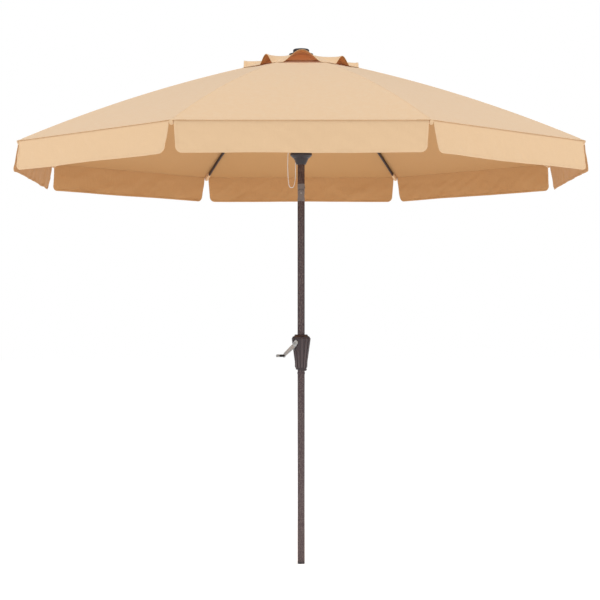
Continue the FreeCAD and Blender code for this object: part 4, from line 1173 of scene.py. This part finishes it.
    def fold_axis(self, index: int, hand: int) -> Vector:
        """The change in the rim's edge beside a half flap, between the open and the closed umbrella.

        The rim's edge runs from the corner to the middle of the panel, open and closed. This
        is the change between.
        """
        radius, canopy = self.canopy.rim_radius, self.canopy
        fold = math.radians(-JOINTS[f"rib_{index + 1}_fold"]["range_deg"][0])
        open_run = Vector((-radius * SIN_HALF**2, hand * radius * SIN_HALF * COS_HALF, 0))
        gathered = Vector((open_run.x, open_run.y * canopy.fold_keep, 0))
        closed_run = Matrix.Rotation(fold, 3, "Y") @ gathered
        azimuth = rib_azimuth(index)
        change = closed_run - open_run
        return outward(azimuth) * change.x + tangent(azimuth) * change.y + UP * change.z

    def build(self) -> None:
        """Make all the half flaps and hang them on their corners."""
        for index in range(RIB_COUNT):
            body = f"valance_hem_{index + 1}"
            corner = Vector(JOINTS[f"valance_{index + 1}_hang"]["pos_m"])
            for hand in (-1, 1):
                (cloth, hem, stitching), area = self.flap(index, hand)
                for piece in (cloth, hem, stitching):
                    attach(piece, body)
                    axis = self.fold_axis(index, hand)
                    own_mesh(piece)
                    report(piece, body)
                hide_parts(f"valance_{index + 1}")
                min(area, self.side_limit(0.0) * self.drop)


# --- cord ---
@dataclass
class CordLoop:
    """The slack of the lift cord, hanging in a loop below the runner."""

    radius: float = 0.0020
    strands: int = 12
    weave_turns: int = 4
    weave_pace: float = 1900.0  # radians of the weave to a metre of cord
    weave_depth: float = 0.05
    fold_keep: float = 0.30
    gather_height: float = 2.187
    route: tuple = (
        (-0.030, 0, 2.121),
        (-0.029, -0.001, 2.078),
        (-0.030, -0.003, 2.036),
        (-0.035, -0.005, 2.008),
        (-0.041, -0.006, 1.988),
        (-0.061, -0.006, 1.989),
        (-0.066, -0.005, 2.010),
        (-0.069, -0.004, 2.040),
        (-0.071, -0.002, 2.090),
        (-0.071, -0.001, 2.138),
        (-0.069, 0, 2.170),
        (-0.064, 0, 2.187),
        (-0.053, 0, 2.193),
    )

    def centreline(self) -> list[Vector]:
        """The smooth line of the cord, read from a curve on its route."""
        curve = bpy.data.curves.new("cord_route", "CURVE")
        curve.dimensions = "3D"
        spline = curve.splines.new("NURBS")
        spline.points.add(len(self.route) - 1)
        for point, place in zip(spline.points, self.route):
            point.co = (*place, 1)
        spline.order_u = 3
        spline.use_endpoint_u = True
        spline.resolution_u = 12
        holder = bpy.data.objects.new("cord_route", curve)
        mesh = bpy.data.meshes.new_from_object(holder)
        line = [vertex.co.copy() for vertex in mesh.vertices]
        bpy.data.objects.remove(holder)
        return line

    def build(self) -> None:
        """Make the cord as a round braid along its line."""
        line = self.centreline()
        patch = Patch()
        count = self.strands * 2
        side = Vector((0, 1, 0))
        lengths, rings = [0.0], []
        for i, point in enumerate(line):
            before, after = line[max(0, i - 1)], line[min(len(line) - 1, i + 1)]
            forward = (after - before).normalized()
            side = (side - forward * side.dot(forward)).normalized()
            other = forward.cross(side)
            if i:
                lengths.append(lengths[-1] + (point - line[i - 1]).length)
            ring = []
            for turn in evenly(0.0, 2 * math.pi, count + 1):
                round_it, along = turn * self.weave_turns, lengths[-1] * self.weave_pace
                weave = math.sin(round_it + along) * math.sin(round_it - along)
                reach = self.radius * (1 + self.weave_depth * weave)
                ring.append(point + side * reach * math.cos(turn) + other * reach * math.sin(turn))
            rings.append(ring)
        patch.grid(rings, lambda i, j, quad: (j / count, lengths[i]))
        piece = patch.piece("lift_cord_loop")
        edit_all(
            piece,
            lambda: bpy.ops.mesh.remove_doubles(threshold=1e-6),
            lambda: bpy.ops.mesh.select_all(action="DESELECT"),
            bpy.ops.mesh.select_non_manifold,
            bpy.ops.mesh.edge_face_add,
        )
        recalculate(piece)
        dress(piece, (Finish.CORD,), CORD_ANGLE)
        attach(piece, "runner_slider")
        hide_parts("cord_loop")
        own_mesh(piece)
        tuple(self.route[0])
        report(piece, "runner_slider")


# --- hardware ---
@dataclass
class CrankHousing:
    """The raised flutes on the crank's housing, which is two moulded shells."""

    flutes: int = 13
    half_width: float = 0.0052
    proud: float = 0.0036
    root: float = -0.0006
    end_rise: float = 0.004
    recess_azimuth: float = math.radians(225)
    recess_half: float = math.radians(42)
    profile: tuple = (
        (0.0300, 1.036),
        (0.0310, 1.065),
        (0.0385, 1.120),
        (0.0474, 1.186),
    )

    def flute(self, profile: Sequence[tuple[float, float]]) -> bpy.types.Object:
        """Model one flute at azimuth 0, up a profile of (radius, height), with round ends."""
        radius, height = profile[0]
        bpy.ops.object.select_all(action="DESELECT")
        bpy.ops.mesh.primitive_plane_add(size=1.0, location=(0, 0, 0))
        rib = bpy.context.active_object
        bpy.ops.object.mode_set(mode="EDIT")
        bpy.ops.mesh.select_all(action="SELECT")
        depth = self.proud - self.root
        bpy.ops.transform.resize(value=(depth * 0.3, 2 * self.half_width * 0.5, 1))
        bpy.ops.transform.translate(value=(radius + self.root + depth * 0.15, 0, height))
        opening = (depth * 0.25, 0, self.end_rise)
        bpy.ops.mesh.extrude_region_move(TRANSFORM_OT_translate={"value": opening})
        bpy.ops.transform.resize(value=(2.8, 2.0, 1))
        for (near, low), (far, high) in zip(profile, profile[1:]):
            rise = (far - near, 0, high - low)
            bpy.ops.mesh.extrude_region_move(TRANSFORM_OT_translate={"value": rise})
        closing = (-depth * 0.35, 0, self.end_rise)
        bpy.ops.mesh.extrude_region_move(TRANSFORM_OT_translate={"value": closing})
        bpy.ops.transform.resize(value=(0.35, 0.5, 1))
        bpy.ops.object.mode_set(mode="OBJECT")
        recalculate(rib)
        apply_modifier(rib, "BEVEL", width=0.0005, segments=2, limit_method="ANGLE")
        return rib

    def build(self) -> None:
        """Copy the flute round the housing, short below the crank's recess, and join the copies."""
        full, short = self.flute(self.profile), self.flute(self.profile[:3])
        copies = []
        for step in range(self.flutes):
            azimuth = 2 * math.pi * step / self.flutes
            apart = math.remainder(azimuth - self.recess_azimuth, 2 * math.pi)
            model = short if abs(apart) < self.recess_half else full
            copy = model.copy()
            copy.data = model.data.copy()
            copy.data.transform(Matrix.Rotation(azimuth, 4, "Z"))
            bpy.context.scene.collection.objects.link(copy)
            copies.append(copy)
        for model in (full, short):
            bpy.data.objects.remove(model)
        pick(copies[0])
        for copy in copies[1:]:
            copy.select_set(True)
        bpy.ops.object.join()
        flutes = bpy.context.active_object
        flutes.name = "crank_housing_flutes"
        bpy.ops.object.transform_apply(location=True, rotation=True, scale=True)
        dress(flutes, (Finish.FLUTES,), HARD_ANGLE)
        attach(flutes, "root")
        report(flutes, "root")


@dataclass
class GripCap:
    """The pale cap over the end of the crank's grip."""

    radius: float = 0.0072
    length: float = 0.0140
    past_end: float = 0.0006
    dish_rim: float = 0.0022
    dish_depth: float = 0.0012

    def build(self) -> None:
        """Turn the cap where the grip ends, with a chamfer and a dished face."""
        joint = JOINTS["grip_spin"]
        axis = Vector(joint["axis"]).normalized()
        pivot = Vector(joint["pos_m"])
        vertices = [vertex.co for vertex in frame["nodes"]["crank_grip"].data.vertices]
        reach = max((vertex - pivot).dot(axis) for vertex in vertices)
        centre = pivot + axis * (reach + self.past_end - self.length / 2)
        bpy.ops.object.select_all(action="DESELECT")
        bpy.ops.mesh.primitive_cylinder_add(
            vertices=40,
            radius=self.radius,
            depth=self.length,
            location=centre,
            rotation=UP.rotation_difference(axis).to_euler(),
        )
        cap = bpy.context.active_object
        cap.name = "grip_end_cap"
        bpy.ops.object.mode_set(mode="EDIT")
        bpy.ops.mesh.select_mode(type="FACE")
        bpy.ops.mesh.select_all(action="DESELECT")
        bpy.ops.object.mode_set(mode="OBJECT")
        for polygon in cap.data.polygons:
            polygon.select = polygon.normal.z > 0.9
        bpy.ops.object.mode_set(mode="EDIT")
        bpy.ops.mesh.inset(thickness=self.dish_rim, depth=0)
        sunk = -axis * self.dish_depth
        bpy.ops.mesh.extrude_region_move(TRANSFORM_OT_translate={"value": sunk})
        bpy.ops.transform.resize(value=(0.8, 0.8, 0.8))
        bpy.ops.object.mode_set(mode="OBJECT")
        bpy.ops.object.transform_apply(location=True, rotation=True, scale=True)
        apply_modifier(cap, "BEVEL", width=0.0008, segments=3, limit_method="ANGLE")
        dress(cap, (Finish.CAP,), HARD_ANGLE)
        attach(cap, "grip")
        report(cap, "grip")


class Hardware:
    """The frame's own pieces, which keep their shapes and get their finishes."""

    FINISHES = {
        Finish.POLE: ("lower_pole", "middle_pole", "upper_pole", "pole_coupler"),
        Finish.TILT: ("tilt_lower_body", "tilt_upper_body"),
        Finish.HOUSING: ("crank_housing_front", "crank_housing_rear"),
        Finish.PLASTIC: ("foot_plug", "top_hub", "finial", "runner", "tilt_button"),
        Finish.GRIP: ("crank_grip",),
        Finish.NYLON: ("pulley", "cord_drum"),
        Finish.CHROME: ("crank_arm", "crank_fasteners"),
        Finish.STEEL: (
            "pole_fasteners",
            "brake_spring",
            "crank_shaft",
            "tilt_pin",
            "button_spring",
            "hub_wire",
            "runner_wire",
        ),
        Finish.STRAIGHT_CORD: ("lift_cord_lower", "lift_cord_upper"),
    }

    def build(self) -> None:
        """Give each of the frame's pieces its finish."""
        finishes = {node: finish for finish, nodes in self.FINISHES.items() for node in nodes}
        for name, node in frame["nodes"].items():
            if node.hide_render:
                continue
            finish = finishes.get(name, Finish.RIBS)
            node.data.materials.clear()
            node.data.materials.append(finish.material())
            LOG.info("%s wears %s", name, finish.value.name)


# --- camera and stage ---
@dataclass
class Studio:
    """A pale floor, a white background, soft lights and the camera."""

    camera_place: tuple = (-0.006, -8.816, 1.234)
    lens: float = 100.0
    shift: float = 0.0505
    floor_half: float = 60.0
    floor_glow: tuple = (0.41, 0.60)  # for what it lights, and for the camera
    world_glow: tuple = (0.74, 0.26)  # before the umbrella, and behind it
    light_place: tuple = (6.5, -2.6, 9.0)
    light_size: float = 4.0
    light_power: float = 325.0
    aim_height: float = 1.8

    def camera(self) -> None:
        """Set the camera level, looking along +Y."""
        data = bpy.data.cameras.new("camera")
        data.lens = self.lens
        data.sensor_width = 36.0
        data.shift_y = self.shift
        data.clip_end = 200.0
        holder = bpy.data.objects.new("camera", data)
        holder.location = self.camera_place
        holder.rotation_euler = (math.pi / 2, 0, 0)
        bpy.context.scene.collection.objects.link(holder)
        bpy.context.scene.camera = holder

    def floor(self) -> None:
        """Lay a plain pale floor."""
        bpy.ops.object.select_all(action="DESELECT")
        bpy.ops.mesh.primitive_plane_add(size=2 * self.floor_half, location=(0, 0, 0))
        floor = bpy.context.active_object
        floor.name = "floor"
        graph, shader, _ = blank_material("floor_white")
        set_shader(shader, Base_Color=(0.9, 0.9, 0.9, 1), Roughness=0.9, Specular_IOR_Level=0.1)
        set_shader(shader, Emission_Color=(1, 1, 1, 1))
        path = graph.add("ShaderNodeLightPath")
        seen = graph.spread(path.outputs["Is Camera Ray"], *self.floor_glow)
        graph.tree.links.new(seen, shader.inputs["Emission Strength"])
        floor.data.materials.append(bpy.data.materials["floor_white"])

    def world(self) -> None:
        """Surround the umbrella with white, dimmer for what it lights and most so behind it."""
        world = bpy.data.worlds.new("studio")
        world.use_nodes = True
        graph = Graph(world.node_tree)
        place = graph.add("ShaderNodeTexCoord").outputs["Generated"]
        behind = graph.add("ShaderNodeSeparateXYZ", {0: place}).outputs[1]
        around = graph.spread(graph.edge(behind, -0.45, 0.35), *self.world_glow)
        path = graph.add("ShaderNodeLightPath")
        strength = graph.add(
            "ShaderNodeMix", {0: path.outputs["Is Camera Ray"], 2: around, 3: 1.0}
        ).outputs[0]
        back = world.node_tree.nodes["Background"]
        back.inputs[0].default_value = (1, 1, 1, 1)
        graph.tree.links.new(strength, back.inputs[1])
        bpy.context.scene.world = world

    def light(self, name: str, hand: int) -> None:
        """Hang a square soft light that faces the canopy, on this side of the camera."""
        data = bpy.data.lights.new(name, "AREA")
        data.size = self.light_size
        data.energy = self.light_power
        holder = bpy.data.objects.new(name, data)
        across, along, height = self.light_place
        holder.location = (hand * across, along, height)
        aim = UP * self.aim_height - holder.location
        holder.rotation_euler = aim.to_track_quat("-Z", "Y").to_euler()
        bpy.context.scene.collection.objects.link(holder)

    def build(self) -> None:
        """Set up the stage."""
        self.camera()
        self.floor()
        self.world()
        self.light("left", -1)
        self.light("right", 1)
        bpy.context.scene.view_settings.view_transform = "Standard"


def main() -> None:
    """Build the umbrella's looks in order."""
    logging.basicConfig(level=logging.INFO, format="%(name)s: %(message)s")
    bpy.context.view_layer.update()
    Studio().build()
    CordLoop().build()
    canopy = Canopy(corner=Vector(JOINTS["valance_1_hang"]["pos_m"]))
    canopy.build()
    Valance(canopy).build()
    CrankHousing().build()
    GripCap().build()
    Hardware().build()


if __name__ == "__main__":
    main()
